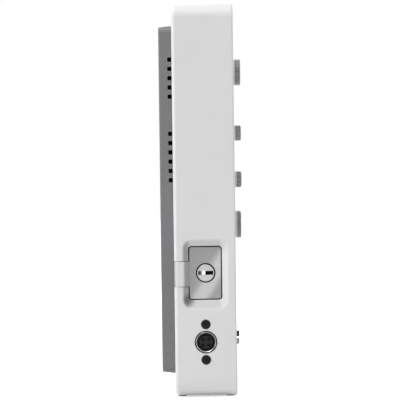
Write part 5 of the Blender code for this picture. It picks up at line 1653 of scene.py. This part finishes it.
@dataclass
class RearCover(SubAssembly):
    """Grey rear cover with its side slots, grille, kickstand tray and screws."""

    wall: float = 0.002
    corner: float = 0.004
    edge: float = 0.0008
    draft: float = 0.0007
    slot_pitch: float = 0.00503
    slot_height: float = 0.0024
    slot_reach: float = 0.0022
    slot_drop: float = 0.01855
    slots: tuple[int, ...] = (0, 1, 2, 3, 4, 8, 9, 10, 11, 12, 13)
    grille_radius: float = 0.0238
    barrel: float = 0.0018
    rod_grip: float = 0.005
    rod_radius: float = 0.0012
    tray_wall: float = 0.0015
    well_radius: float = 0.0034
    well_depth: float = 0.0011
    screw_radius: float = 0.0026
    screw_inset: float = 0.009  # from the cover's edges
    cross: Triple = (0.003, 0.0005, 0.0006)  # its arms' length and width; depth
    recess: tuple[Pair, Pair] = ((-0.098, 0.166), (0.07, 0.026))  # x and z, and widths along them
    recess_depth: float = 0.0003
    cover: Box = boxed("rear_cover")
    stand: Box = boxed("kickstand")
    fan: Box = boxed("fan_frame")

    def body(self, inset: float, y0: float, y1: float, draft: float, edge: float) -> Solid:
        """A slab with the cover's outline and sides that lean in.

        Args:
            inset: How much smaller it is on each side.
            y0: Where it starts.
            y1: Where it ends.
            draft: How much smaller its back is.
            edge: Radius of its rear rim.

        Returns:
            The slab.
        """
        low, high = self.cover.low, self.cover.high
        rim = reversed(fillet(edge, 5))
        levels = [(y0, inset), *((y1 - a, inset + (inwards + draft)) for a, inwards in rim)]
        return Solid.loft(Y, [Ring(along, (low.x + total, low.z + total), (high.x - total, high.z - total),
                                   max(self.corner - total, 0.0008)) for along, total in levels], 8)

    def build(self) -> None:
        """Build the cover and its screws."""
        stand, back, front = self.stand, self.cover.high.y, self.cover.low.y
        solid = self.body(0.0, front, back, self.draft, self.edge)
        solid.cut(self.body(self.wall, front - OVER, back - self.wall, 0.0, 0.0))
        half, side, middle = stand.size.x / 2 + 2 * GAP, self.tray_wall + self.rod_grip + GAP, stand.centre.x
        low, high = stand.low.z - 2 * GAP, stand.high.z + GAP
        floor = back - 2 * self.barrel - GAP
        solid.join(Solid.slab((middle - half - side, floor - self.tray_wall, low - self.tray_wall),
                              (middle + half + side, back - self.wall / 2, high + self.tray_wall)))
        solid.cut(Solid.slab((middle - half, floor, low), (middle + half, back + OVER, high), Y, 0.0006))
        hinge = (0.0, back - self.barrel, stand.high.z - self.barrel)
        reach = stand.size.x / 2 + self.rod_grip + 2 * GAP
        solid.cut(Solid.rod(middle - reach, middle + reach, self.rod_radius + PLAY, hinge, X, steps=20))
        solid.cut(*self.side_slots())
        solid.cut(*self.grille())
        solid.cut(bar(Y, back - self.recess_depth, back + OVER, *self.recess, 0.0015))
        solid.cut(*[Solid.rod(back - self.well_depth, back + OVER, self.well_radius, (x, 0.0, z), Y)
                    for x, z in self.screw_places()])
        self.add("grey_cover", solid, GREY, "rear_cover")
        self.add("cover_screws", self.screws(), BLACK_SCREW)

    def side_slots(self) -> list[Solid]:
        """The slots in both sides.

        Returns:
            Their cutters.
        """
        front, half = self.cover.low.y, self.slot_height / 2
        heights = [self.cover.high.z - self.slot_drop - number * self.slot_pitch for number in self.slots]
        return [Solid.slab((x - 2 * self.wall, front - 2 * OVER, z - half),
                           (x + 2 * self.wall, front + self.slot_reach, z + half), X, 0.0006, quarter=4)
                for z in heights for x in (self.cover.low.x, self.cover.high.x)]

    def grille(self) -> list[Solid]:
        """The slots over the fan.

        Returns:
            Their cutters.
        """
        back, (x, _, z), high = self.cover.high.y, self.fan.centre, self.slot_height
        rows = int(2 * self.grille_radius / self.slot_pitch)
        offsets = [(number - (rows - 1) / 2) * self.slot_pitch for number in range(rows)]
        return [bar(Y, back - 2 * self.wall, back + OVER, (x, z + offset),
                    (2 * math.sqrt(self.grille_radius**2 - offset**2), high), high * 0.48)
                for offset in offsets]

    def screw_places(self) -> list[Pair]:
        """X and Z of the cover's screws: one in each corner and one at the top.

        Returns:
            Their places.
        """
        low, high, inset = self.cover.low, self.cover.high, self.screw_inset
        return [*((x, z) for z in (low.z + inset, high.z - inset) for x in (low.x + inset, high.x - inset)),
                ((low.x + high.x) / 2, high.z - inset)]

    def screws(self) -> Solid:
        """The cover's screws, with crosses turned each their own way.

        Returns:
            The screws, as one solid.
        """
        back, radius, made, (length, width, depth) = self.cover.high.y, self.screw_radius, [], self.cross
        under, top = back - self.well_depth - 0.0001, back - 0.0002
        profile = [(under, 0.0), (under, radius), (top - 0.0003, radius), (top - 0.0001, radius * 0.8),
                   (top, radius * 0.4), (top, 0.0)]
        for number, (x, z) in enumerate(self.screw_places()):
            head = Solid.turned(profile, (x, 0.0, z), Y, 32)
            for angle in (18.0 * number, 18.0 * number + 90):
                slot = bar(Y, top - depth, top + OVER, (x, z), (length, width))
                head.cut(slot.rotated(angle, Y, (x, 0.0, z)))
            made.append(head)
        return Solid.gathered(made)


@dataclass
class Kickstand(SubAssembly):
    """Fold-out leg with its window and rubber tip."""

    barrel: float = RearCover.barrel
    rod_radius: float = RearCover.rod_radius
    thickness: float = 0.0032
    window: Pair = (0.090, 0.052)
    window_drop: float = 0.014
    window_corner: float = 0.004
    soft: float = 0.0003
    grip_rise: float = 0.0053  # of the rubber tip's middle above the leg's end
    groove: Triple = (0.012, 0.0036, 0.0006)  # for the rubber: shorter than the leg by this; height; depth
    grip: Triple = (0.0124, 0.0032, 0.00025)  # the rubber: shorter than the leg by this; height; rim
    leg: Box = boxed("kickstand")

    def build(self) -> None:
        """Build the leg and its tip, and dress the rod."""
        leg, back, deep = self.leg, self.leg.high.y, self.thickness
        low, middle, half = leg.low.z, leg.centre.x, leg.size.x / 2
        hinge = (back - self.barrel, leg.high.z - self.barrel)
        turn = math.degrees(math.asin(math.sqrt(1 - ((deep - self.barrel) / self.barrel) ** 2)))
        outline = [(back - deep, low + self.barrel), (back - deep * 0.75, low + 0.0004),
                   (back - deep / 2, low), (back - deep * 0.25, low + 0.0004), (back, low + self.barrel),
                   *arc(hinge, self.barrel, 0, 180 + turn, 24)]
        solid = Solid.extruded(outline, X, middle - half, middle + half)
        width, height = self.window
        z = hinge[1] - self.window_drop - height / 2
        solid.cut(bar(Y, leg.low.y - OVER, back + OVER, (middle, z), self.window, self.window_corner))

        def rounded(edge: bmesh.types.BMEdge) -> bool:
            """Whether an edge is on the leg's sides or round its window.

            Args:
                edge: The edge.

            Returns:
                Whether it is.
            """
            near = 1e-5
            places = [(abs(vert.co.x - middle), abs(vert.co.z - z)) for vert in edge.verts]
            return (all(x > half - near for x, _ in places)
                    or all(x < width / 2 + near and up < height / 2 + near for x, up in places))

        shape = solid.shape
        bmesh.ops.recalc_face_normals(shape, faces=shape.faces)
        edges = [edge for edge in shape.edges
                 if len(edge.link_faces) == 2 and edge.calc_face_angle(0.0) > SHARP and rounded(edge)]
        bmesh.ops.bevel(shape, geom=edges, offset=self.soft, offset_type="OFFSET", segments=2, profile=0.5,
                        affect="EDGES", clamp_overlap=True, material=-1)
        solid.cut(Solid.rod(middle - half - OVER, middle + half + OVER, self.rod_radius + PLAY, (0.0, *hinge),
                            X, steps=20))
        place, (less, high, depth) = (middle, low + self.grip_rise), self.groove
        solid.cut(bar(Y, back - depth, back + OVER, place, (leg.size.x - less, high), 0.0014))
        self.add("kickstand_leg", solid, GREY, "kickstand", body="kickstand")
        less, high, rim = self.grip
        grip = bar(Y, back - depth, back + 0.0002, place, (leg.size.x - less, high), 0.0013, (0.0, rim))
        self.add("kickstand_grip", grip, RUBBER, body="kickstand")
        self.dress(STEEL, "kickstand_rod")


@dataclass
class Front(SubAssembly):
    """Front panel with its print, the screen, the power ring and the terminals."""

    glass: Box = boxed("touch_glass")
    line: float = 0.00035
    group_lines: Pair = (0.0115, 0.0162)  # the top one above the trigger knob, the other below the scales
    column_line: Pair = (0.001, 0.018)  # its rise above the knobs' middle, and how much it goes past them
    dash: Triple = (0.0018, 0.0022, 1.6)  # length; distance from the ring; height in widths of a line
    ring_gap: float = 0.0022

    def build(self) -> None:
        """Build the screen and the print, and dress the rest."""
        glass, power, front = self.glass, Box.of("power_button"), self.shell.low.y
        screen = LitScreen("cover_glass_with_picture", "screen_glass", middle=tuple(glass.centre))
        cover = Solid.slab(glass.low, glass.high, Y, 0.004, (0.0003, 0.0), 3, 10)
        self.add("cover_glass", cover, screen, "touch_glass")
        for finish, node in ((WHITE_PANEL, "front_panel"), (BLACK, "lcd_module"), (ALUMINIUM, "mid_frame"),
                             (BLACK, "signal_terminal"), (PALE_TERMINAL, "ground_terminal")):
            self.dress(finish, node)
        self.add("panel_lines", self.lines(), PRINT)
        radius = power.size.x / 2 - Keypad.flange + GAP
        ring = Solid.turned([(front - 0.00012, radius + 0.0002), (front - 0.00012, radius + 0.0008),
                             (front + 0.0002, radius + 0.0009), (front + 0.0002, radius + 0.0002)],
                            power.centre, Y, 64, ring=True)
        self.add("power_ring", ring,
                 LightGuide("power_glow", "key_plastic", tone(188, 236, 205), strength=0.7))

    def lines(self) -> Solid:
        """Printed lines between the groups of controls and rings round the knobs.

        Returns:
            The lines, as one solid.
        """
        start, end, line = self.shell.low.y - THIN, self.shell.low.y + THIN, self.line
        knobs = {name: Box.of(f"knob_{name}") for name in KnobSet.NAMES}
        names = ("trigger_level", "horizontal_scale", "horizontal_position", "vertical_scale")
        trigger, scale, position, left = (knobs[name].centre for name in names)
        first, last = (Box.of(f"key_channel_{number}") for number in (1, 4))
        middle, width = (first.low.x + last.high.x) / 2, last.high.x - first.low.x
        (above, below), (rise, longer), (length, past, thick) = self.group_lines, self.column_line, self.dash
        bars = [((middle, z), (width, line))
                for z in (trigger.z + above, (trigger.z + position.z) / 2, scale.z - below)]
        bars.append((((left.x + scale.x) / 2, (position.z + scale.z) / 2 + rise),
                     (line, position.z - scale.z + longer)))
        made = [bar(Y, start, end, *place) for place in bars]
        for knob in knobs.values():
            radius = knob.size.x / 2 + self.ring_gap
            profile = [(start, radius), (start, radius + line), (end, radius + line), (end, radius)]
            made.append(Solid.turned(profile, knob.centre, Y, 72, ring=True))
        for x, side in ((left.x, -1), (scale.x, 1)):
            for name, z in (("vertical_position", position.z), ("vertical_scale", scale.z)):
                reach = knobs[name].size.x / 2 + self.ring_gap + past
                made.append(bar(Y, start, end, (x + side * reach, z), (length, line * thick)))
        return Solid.gathered(made)


@dataclass
class KnobSet(SubAssembly):
    """Six ribbed knobs, each with a pale skirt at the panel, on its spindle."""

    NAMES = ("multipurpose", "trigger_level", "vertical_position", "horizontal_position", "vertical_scale",
             "horizontal_scale")
    skirt: float = 0.0043
    edge: float = 0.0009
    groove: float = 0.0004
    groove_place: float = 0.46  # share of the knob's height above the skirt
    rib_depth: float = 0.05  # of the radius
    rib_pitch: float = 0.0014
    rim: float = 0.0012
    dish: float = 0.00025
    dimple: Pair = (0.0042, 0.0035)  # its sphere's radius, and how far in front of the knob its middle is
    dimpled: float = 0.007  # knobs larger than this radius have a dimple
    travel: float = 0.0008  # room past the spindle's tip for the press

    def knob(self, box: Box) -> Solid:
        """The ribbed body of a knob.

        Args:
            box: The CAD knob's box.

        Returns:
            The body.
        """
        x, z, radius = box.centre.x, box.centre.z, box.size.x / 2
        base, tip = box.high.y - self.skirt, box.low.y
        count = round(2 * math.pi * radius / self.rib_pitch)
        split = base + (tip - base) * self.groove_place
        half, neck, flat = self.groove / 2, radius * 0.95, radius - self.edge
        stages = [(base, radius - 0.0004, 0.0), (base, radius, 1.0), (split + half, radius, 1.0),
                  (split + half, neck, 0.0), (split - half, neck, 0.0), (split - half, radius, 1.0),
                  (tip + self.edge, radius, 1.0)]
        stages += [(tip + a, radius - inset, a / self.edge)
                   for a, inset in reversed(fillet(self.edge, 4)[:-1])]
        stages += [(tip, flat - self.rim, 0.0), (tip + self.dish, flat - self.rim * 1.3, 0.0)]

        def level(y: float, reach: float, ribs: float) -> Level:
            """One level of the knob.

            Args:
                y: Where it is.
                reach: Radius of the crests.
                ribs: Share of the ribs' depth.

            Returns:
                The level.
            """
            def place(direction: Vector, number: int) -> Vector:
                """A point on a crest or in a valley."""
                share = 1.0 - ribs * self.rib_depth * (0.0, 0.0, 1.0, 1.0)[number % 4]
                return Vector((x + direction.x * reach * share, y, z + direction.y * reach * share))
            return place

        return Solid.raised(4 * count, [level(*stage) for stage in stages])

    def build(self) -> None:
        """Build the knobs and dress the spindles."""
        for name in self.NAMES:
            box, spindle = Box.of(f"knob_{name}"), Box.of(f"spindle_{name}")
            (x, _, z), radius, tip, base = box.centre, box.size.x / 2, box.low.y, box.high.y
            bore = spindle.size.x / 2 + PLAY
            body = self.knob(box)
            if radius > self.dimpled:
                round_radius, before = self.dimple
                sphere = [(tip - before + round_radius * math.sin(a), round_radius * math.cos(a))
                          for a in (math.radians(-90 + 12 * i) for i in range(15))]
                sphere.append((tip + (round_radius - before), 0.0))
                body.cut(Solid.turned(sphere, (x, 0.0, z + radius * 0.5), Y, 40))
            body.cut(Solid.rod(spindle.low.y - self.travel, base + OVER, bore, box.centre, Y, steps=32))
            self.add(f"{name}_knob", body, KNOB, f"knob_{name}", body=f"knob_{name}")
            top, side = base - self.skirt, radius - 0.0001
            skirt = Solid.turned([(base, bore), (base, radius - 0.0003), (base - 0.0002, side),
                                  (top + 0.0001, side), (top, radius - 0.0002), (top, bore)], box.centre, Y,
                                 72, ring=True)
            self.add(f"{name}_knob_skirt", skirt, KNOB_SKIRT, body=f"knob_{name}")
            self.dress(STEEL, f"spindle_{name}")


@dataclass
class Keypad(SubAssembly):
    """Key caps with shallow faces and lit bars, and the power button."""

    flange: float = 0.0011  # how far the flange and the gap go past the cap
    corner: float = 0.0012
    soft: float = 0.0004
    pan: float = 0.00012
    pan_inset: float = 0.0009
    proud: float = 0.0009
    light: Triple = (0.0055, 0.0009, 0.0013)  # a bar's width and height, and how far above the middle it is
    mark: Pair = (0.0013, 0.0017)  # inner and outer radius of the standby mark
    mark_gap: Triple = (0.0014, 0.002, 0.0015)  # its width and height, and how far above the middle it is
    plain: tuple[str, ...] = ("trigger_mode", "autoset", "save", "zoom", "lock", "maths", "bus")

    def cap(self, box: Box) -> Solid:
        """A cap with a shallow pan in its face, and its flange.

        Args:
            box: The CAD key's box.

        Returns:
            The cap.
        """
        front, edge = box.low.y, self.flange
        low, high = (box.low.x + edge, box.low.z + edge), (box.high.x - edge, box.high.z - edge)
        stages = [(front + self.pan, self.soft + self.pan_inset + 0.0003),
                  (front, self.soft + self.pan_inset)]
        stages += [(front + a, inset) for a, inset in fillet(self.soft, 4)]
        stages.append((front + self.proud + 0.0029, 0.0))
        rings = [Ring(y, (low[0] + inset, low[1] + inset), (high[0] - inset, high[1] - inset),
                      max(self.corner - inset, 0.0003)) for y, inset in stages]
        return Solid.loft(Y, rings, 5).join(box.slab(Y, front + self.proud + 0.0027, box.high.y))

    def build(self) -> None:
        """Build the caps, the bars and the power button, and dress the mat."""
        glows = {name: LightGuide(f"{name}_glow", "key_plastic", channel.colour)
                 for name, channel in ((f"channel_{channel.number}", channel) for channel in Channel)}
        glows["run_stop"] = LightGuide("run_glow", "key_plastic", tone(72, 214, 112))
        glows["single"] = LightGuide("single_glow", "key_plastic", tone(232, 168, 70), strength=0.5)
        width, height, rise = self.light
        for name in (*self.plain, *glows):
            box = Box.of(f"key_{name}")
            self.add(f"{name}_cap", self.cap(box), KEY_CAP, f"key_{name}", body=f"key_{name}")
            if name in glows:
                (x, _, z), front = box.centre, box.low.y
                lit = bar(Y, front + self.pan - 0.00008, front + 0.0006, (x, z + rise), (width, height),
                          0.0003)
                self.add(f"{name}_light", lit, glows[name], body=f"key_{name}")
        self.power()
        self.dress(SILICONE, "keypad_mat")

    def power(self) -> None:
        """Build the power button with its standby mark."""
        box = Box.of("power_button")
        front, back, flange, (x, _, z) = box.low.y, box.high.y, box.size.x / 2, box.centre
        radius, start, end = flange - self.flange, front + 0.0002, front + 0.0006
        profile = [(front + 0.0005, 0.0), (front + 0.00042, radius * 0.3), (start, radius * 0.65),
                   (front, radius - 0.0007), (front + 0.0001, radius - 0.0003), (front + 0.0004, radius),
                   (back - 0.0008, radius), (back - 0.0008, flange), (back, flange), (back, 0.0)]
        self.add("power_cap", Solid.turned(profile, box.centre, Y, 64), KEY_CAP, "power_button",
                 body="power_button")
        (inner, outer), (width, height, rise) = self.mark, self.mark_gap
        mark = Solid.turned([(start, inner), (start, outer), (end, outer), (end, inner)], box.centre, Y, 48,
                            ring=True)
        mark.cut(bar(Y, front - OVER, front + 0.001, (x, z + rise), (width, height)))
        stroke = bar(Y, start, end, (x, z + inner), (outer - inner, 0.0016), 0.0001)
        self.add("power_mark", Solid.gathered([mark, stroke]), PRINT, body="power_button")


@dataclass
class Inputs(SubAssembly):
    """Four bayonet inputs with hexagonal nuts and coloured rings."""

    radius: float = 0.00485
    thread: float = 0.0046
    thread_depth: float = 0.0002  # to each side of the thread's radius
    pitch: float = 0.0005
    turns: int = 5
    nut: float = 0.0072
    nut_thickness: float = 0.0025
    nut_place: float = 0.0007  # past the wall, on the ring
    body: float = 0.0058
    bore: float = 0.00405
    bore_depth: float = 0.008
    core: float = 0.0024
    contact: Pair = (0.00035, 0.0008)  # its inner and outer radius
    lug: float = 0.001
    washer: float = 0.0086
    washer_thickness: float = 0.00065

    def build(self) -> None:
        """Build each input."""
        for channel in Channel:
            name, node = f"input_{channel.number}", f"bnc_input_{channel.number}"
            box, wall, colour = Box.of(node), self.shell.high.x, channel.colour
            centre, tip = box.centre, box.high.x
            metal = Metal(f"{name}_nickel", "nickel", (0.5, 0.48, 0.45), (0.41, 0.39, 0.36), roughness=0.26,
                          turned_about=tuple(centre))
            self.add(f"{name}_barrel", self.barrel(box), metal, node)
            self.add(f"{name}_nut", self.hexagon(centre, wall + self.nut_place), NICKEL)
            dyed = Plastic(f"{name}_ring_plastic", "key_plastic", colour,
                           tuple(level * 0.86 for level in colour), roughness=0.4, patch=60.0)
            inside, face = self.thread + GAP, wall + self.washer_thickness
            ring = [(wall, inside), (wall, self.washer), (wall + 0.0005, self.washer),
                    (face, self.washer - 0.0003), (face, inside)]
            floor, around = tip - self.bore_depth - 0.0005, 0.00085
            insulator = [(floor, around), (floor, self.core), (tip - 0.0032, self.core),
                         (tip - 0.003, self.core - 0.0002), (tip - 0.003, around)]
            inner, outer = self.contact
            contact = [(floor, inner), (floor, outer), (tip - 0.0028, outer), (tip - 0.0026, 0.0006),
                       (tip - 0.0026, inner)]
            for piece, profile, finish, steps in (
                    ("ring", ring, dyed, 72), ("insulator", insulator, PTFE, 40),
                    ("contact", contact, GOLD, 24)):
                self.add(f"{name}_{piece}", Solid.turned(profile, centre, X, steps, ring=True), finish)

    def barrel(self, box: Box) -> Solid:
        """The barrel, with its thread, its two lugs and its body behind the wall.

        Args:
            box: The CAD input's box.

        Returns:
            The barrel.
        """
        tip, back, wall, (_, y, z) = box.high.x, box.low.x, self.shell.high.x, box.centre
        front, start, side, floor = wall - 0.0025, wall + 0.0032, self.radius - 0.0003, tip - self.bore_depth
        profile = [(back, 0.0), (back, self.body), (front, self.body), (front, self.thread)]
        for number in range(self.turns):
            x = start + number * self.pitch
            profile += [(x, self.thread - self.thread_depth),
                        (x + self.pitch / 2, self.thread + self.thread_depth)]
        end = start + self.turns * self.pitch
        profile += [(end, self.thread - self.thread_depth), (end + 0.0004, side), (tip - 0.0004, side),
                    (tip - 0.0002, self.radius - 0.0001), (tip, side), (tip, self.bore + 0.0002),
                    (tip - 0.0003, self.bore), (floor, self.bore), (floor, 0.0)]
        near, far = self.bore + 0.0003, self.radius + 0.0009
        lugs = [Solid.rod(low, high, self.lug, (tip - 0.0045, y, 0.0), Z, 0.0002, 24)
                for low, high in ((z - far, z - near), (z + near, z + far))]
        return Solid.turned(profile, box.centre, X, 56).join(*lugs)

    def hexagon(self, centre: Vector, start: float) -> Solid:
        """The nut, with its corners turned off.

        Args:
            centre: A point on its axis.
            start: Where it starts.

        Returns:
            The nut.
        """
        end, nut = start + self.nut_thickness - 0.0004, self.nut
        flats = Solid.raised(6, [lambda d, _, x=x: Vector((x, centre.y + d.x * nut, centre.z + d.y * nut))
                                 for x in (start, end)])
        cone = Solid.turned([(start - OVER, 0.0), (start - OVER, nut), (end - 0.0006, nut),
                             (end + 0.0003, nut - 0.0011), (end + 0.0003, 0.0)], centre, X, 64)
        bore = Solid.rod(start - OVER, end + OVER, self.thread + 0.0003, centre, X, steps=48)
        return flats.combine(Operation.KEEP, cone).cut(bore)


@dataclass
class Ports(SubAssembly):
    """Network and USB sockets with their contacts."""

    mouth: Pair = (0.0122, 0.0082)  # of the network socket: Z, Y
    clips: tuple[Pair, ...] = ((0.006, 0.0016), (0.0034, 0.0028))
    depth: float = 0.0135
    skin: float = 0.0005
    wires: int = 8
    wire_pitch: float = 0.00102
    wire_half: float = 0.00022  # half the width of a contact
    lamp: Triple = (0.0055, 0.0011, 0.0018)  # from the middle; half its width along Z; its width along Y
    usb_depth: float = 0.012
    usb_skin: float = 0.0004
    usb_pads: tuple[float, ...] = (-0.0035, -0.001, 0.001, 0.0035)

    def build(self) -> None:
        """Build both sockets."""
        self.network()
        self.usb()

    def network(self) -> None:
        """Build the network socket: metal case, black liner, contacts and two lamps."""
        box = Box.of("lan_port")
        face, y0, y1, z = box.high.x, box.low.y, box.high.y, box.centre.z
        floor, base, inset = face - self.depth, y0 + 0.0016, self.skin + 0.00005
        case = box.slab(X, box.low.x, face, 0.0, 0.0004, (0.0, 0.0002), 2, 3)
        case.cut(box.slab(X, floor - 0.001, face + OVER, -self.skin))
        self.add("network_case", case, NICKEL, "lan_port")
        liner = box.slab(X, floor - 0.0009, face - 0.0004, -inset, 0.0002)
        width, height = self.mouth
        top = base + height
        liner.cut(Solid.slab((floor, base, z - width / 2), (face + OVER, top, z + width / 2)))
        for wide, high in self.clips:
            liner.cut(Solid.slab((floor, top - OVER, z - wide / 2),
                                 (face + OVER, top + high - 0.0003, z + wide / 2)))
        self.add("network_liner", liner, BLACK)
        places = [z + (i - (self.wires - 1) / 2) * self.wire_pitch for i in range(self.wires)]
        half = self.wire_half
        wires = [Solid.slab((floor + 0.0002, base + 0.0004, place - half),
                            (face - 0.0035, base + 0.0009, place + half)) for place in places]
        self.add("network_contacts", Solid.gathered(wires), GOLD)
        away, half, deep = self.lamp
        for name, side, colour in (("link", -1, tone(96, 214, 96)), ("data", 1, tone(240, 178, 64))):
            middle, top = z + side * away, y1 - 0.0014
            lamp = Solid.slab((face - 0.0008, top - deep, middle - half), (face - 0.0002, top, middle + half),
                              X, 0.0002)
            glow = LightGuide(f"{name}_lamp_glow", "key_plastic", colour, strength=0.4)
            self.add(f"network_{name}_lamp", lamp, glow)

    def usb(self) -> None:
        """Build the USB socket: metal case, tongue and contacts."""
        box = Box.of("usb_port")
        face, skin, floor, z = box.high.x, self.usb_skin, box.high.x - self.usb_depth, box.centre.z
        case = box.slab(X, box.low.x, face, 0.0, 0.0005, (0.0, 0.00015), 2, 4)
        case.cut(box.slab(X, floor, face + OVER, -skin, 0.0002))
        self.add("usb_case", case, NICKEL, "usb_port")
        y = box.low.y + 2 * skin
        tongue = Solid.slab((floor - 0.0002, y, box.low.z + 2 * skin),
                            (face - 0.0008, y + 0.0018, box.high.z - 2 * skin), X, 0.0003, (0.0, 0.0002))
        self.add("usb_tongue", tongue, BLACK)
        pads = [Solid.slab((floor + 0.001, y + 0.0017, z + step - 0.0006),
                           (face - 0.0016, y + 0.00187, z + step + 0.0006), X, 0.00005)
                for step in self.usb_pads]
        self.add("usb_contacts", Solid.gathered(pads), GOLD)


@dataclass
class Inside(SubAssembly):
    """Boards, cooling and the fan, which stay as they are and take their finishes."""

    def build(self) -> None:
        """Dress the pieces inside."""
        self.dress(BOARD, "control_board", "main_board")
        self.dress(ALUMINIUM, "heat_sink", "front_end_shield")
        self.dress(BLACK, "fan_frame", "fan_rotor")


@dataclass
class Studio:
    """Pale floor, soft lamps, a white surround and the camera."""

    shell: Box = boxed("main_housing")
    distance: float = 1.3  # from the side face
    height: float = 0.10605
    setback: float = 0.01883  # of the camera's axis behind the front face
    focal: float = 218.1
    lean: float = 0.76  # degrees

    def build(self) -> None:
        """Build everything that isn't the object."""
        self.camera()
        self.floor()
        self.surround()
        middle = self.shell.centre
        for name, offset, size, power in (("key_lamp", (-0.5, 0.5, 1.4), 0.7, 14.8),
                                          ("rear_lamp", (-0.75, 1.3, 0.1), 0.9, 7.4),
                                          ("front_lamp", (0.2, -1.5, 0.9), 1.2, 6.0),
                                          ("far_lamp", (1.4, 0.5, 0.8), 1.1, 6.0)):
            self.lamp(name, middle + Vector(offset), size, power)

    def camera(self) -> None:
        """Place the camera beside the hatch's side."""
        data = bpy.data.cameras.new("side_camera")
        data.lens = self.focal
        data.clip_start = 0.05
        camera = bpy.data.objects.new("side_camera", data)
        camera.location = (self.shell.low.x - self.distance, self.shell.low.y + self.setback, self.height)
        look = Vector((1.0, 0.0, 0.0)).to_track_quat("-Z", "Y").to_matrix()
        roll = Matrix.Rotation(math.radians(self.lean), 3, "X")
        camera.rotation_euler = (roll @ look).to_euler()
        bpy.context.scene.collection.objects.link(camera)
        bpy.context.scene.camera = camera

    def lamp(self, name: str, place: Vector, size: float, power: float) -> None:
        """A soft square lamp that points at the object.

        Args:
            name: Its name.
            place: Where it is.
            size: Its width.
            power: Its power in watts.
        """
        data = bpy.data.lights.new(name, "AREA")
        data.size = size
        data.energy = power
        lamp = bpy.data.objects.new(name, data)
        lamp.location = place
        lamp.rotation_euler = (self.shell.centre - place).to_track_quat("-Z", "Y").to_euler()
        bpy.context.scene.collection.objects.link(lamp)

    def floor(self) -> None:
        """A wide pale floor that keeps the object's shadow, and glows less under the object as a painted
        contact shadow.
        """
        shape = bmesh.new()
        bmesh.ops.create_grid(shape, x_segments=8, y_segments=8, size=12.0)
        mesh = bpy.data.meshes.new("floor")
        shape.to_mesh(mesh)
        shape.free()
        floor = bpy.data.objects.new("floor", mesh)
        bpy.context.scene.collection.objects.link(floor)
        material = bpy.data.materials.new("studio_floor")
        material.use_nodes = True
        graph = Graph(material.node_tree)
        shader = material.node_tree.nodes["Principled BSDF"]
        seen = self._seen(graph)
        x, y, _ = graph.axes(graph.coords(location=[-level for level in self.shell.centre]))
        beyond = (x.size() - self.shell.size.x / 2).math("MAXIMUM", y.size() - self.shell.size.y / 2)
        # the glow is lower under the object: a painted contact shadow on top of its real shadow
        glow = graph.mix(beyond.eased(-0.009, -0.003), (0.55, 0.55, 0.55),
                         graph.mix(beyond.eased(0.1, 0.6), (0.72, 0.72, 0.72), (0.85, 0.85, 0.85)))
        graph.fill(shader, Base_Color=graph.mix(seen, tone(232), tone(215)), Roughness=0.9,
                   Specular_IOR_Level=0.1, Emission_Color=graph.mix(seen, (0.0, 0.0, 0.0), glow),
                   Emission_Strength=1.0)
        mesh.materials.append(material)

    def _seen(self, graph: Graph) -> Value:
        """1 for rays from the camera, from a mirror or through glass.

        Args:
            graph: The nodes of the material or the world.

        Returns:
            The mask.
        """
        path = graph.add("LightPath")
        camera, glossy, through = (graph.out(path, f"Is {kind} Ray")
                                   for kind in ("Camera", "Glossy", "Transmission"))
        return camera.math("MAXIMUM", glossy).math("MAXIMUM", through)

    def surround(self) -> None:
        """White behind the object, and a soft even light from all round."""
        world = bpy.data.worlds.new("surround")
        world.use_nodes = True
        bpy.context.scene.world = world
        graph = Graph(world.node_tree)
        graph.fill(world.node_tree.nodes["Background"],
                   Color=graph.mix(self._seen(graph), (0.44, 0.44, 0.445), (1.0, 1.0, 1.0)))


def main() -> None:
    """Build every sub-assembly."""
    logging.basicConfig(level=logging.INFO, format="%(name)s %(message)s")
    bpy.context.scene.view_settings.view_transform = "Standard"
    for part in (Casing(), Hatch(), PowerInlet(), RearCover(), Kickstand(), Front(), KnobSet(), Keypad(),
                 Inputs(), Ports(), Inside(), Studio()):
        part.build()
        LOG.info("%s is built", type(part).__name__)


if __name__ == "__main__":
    main()
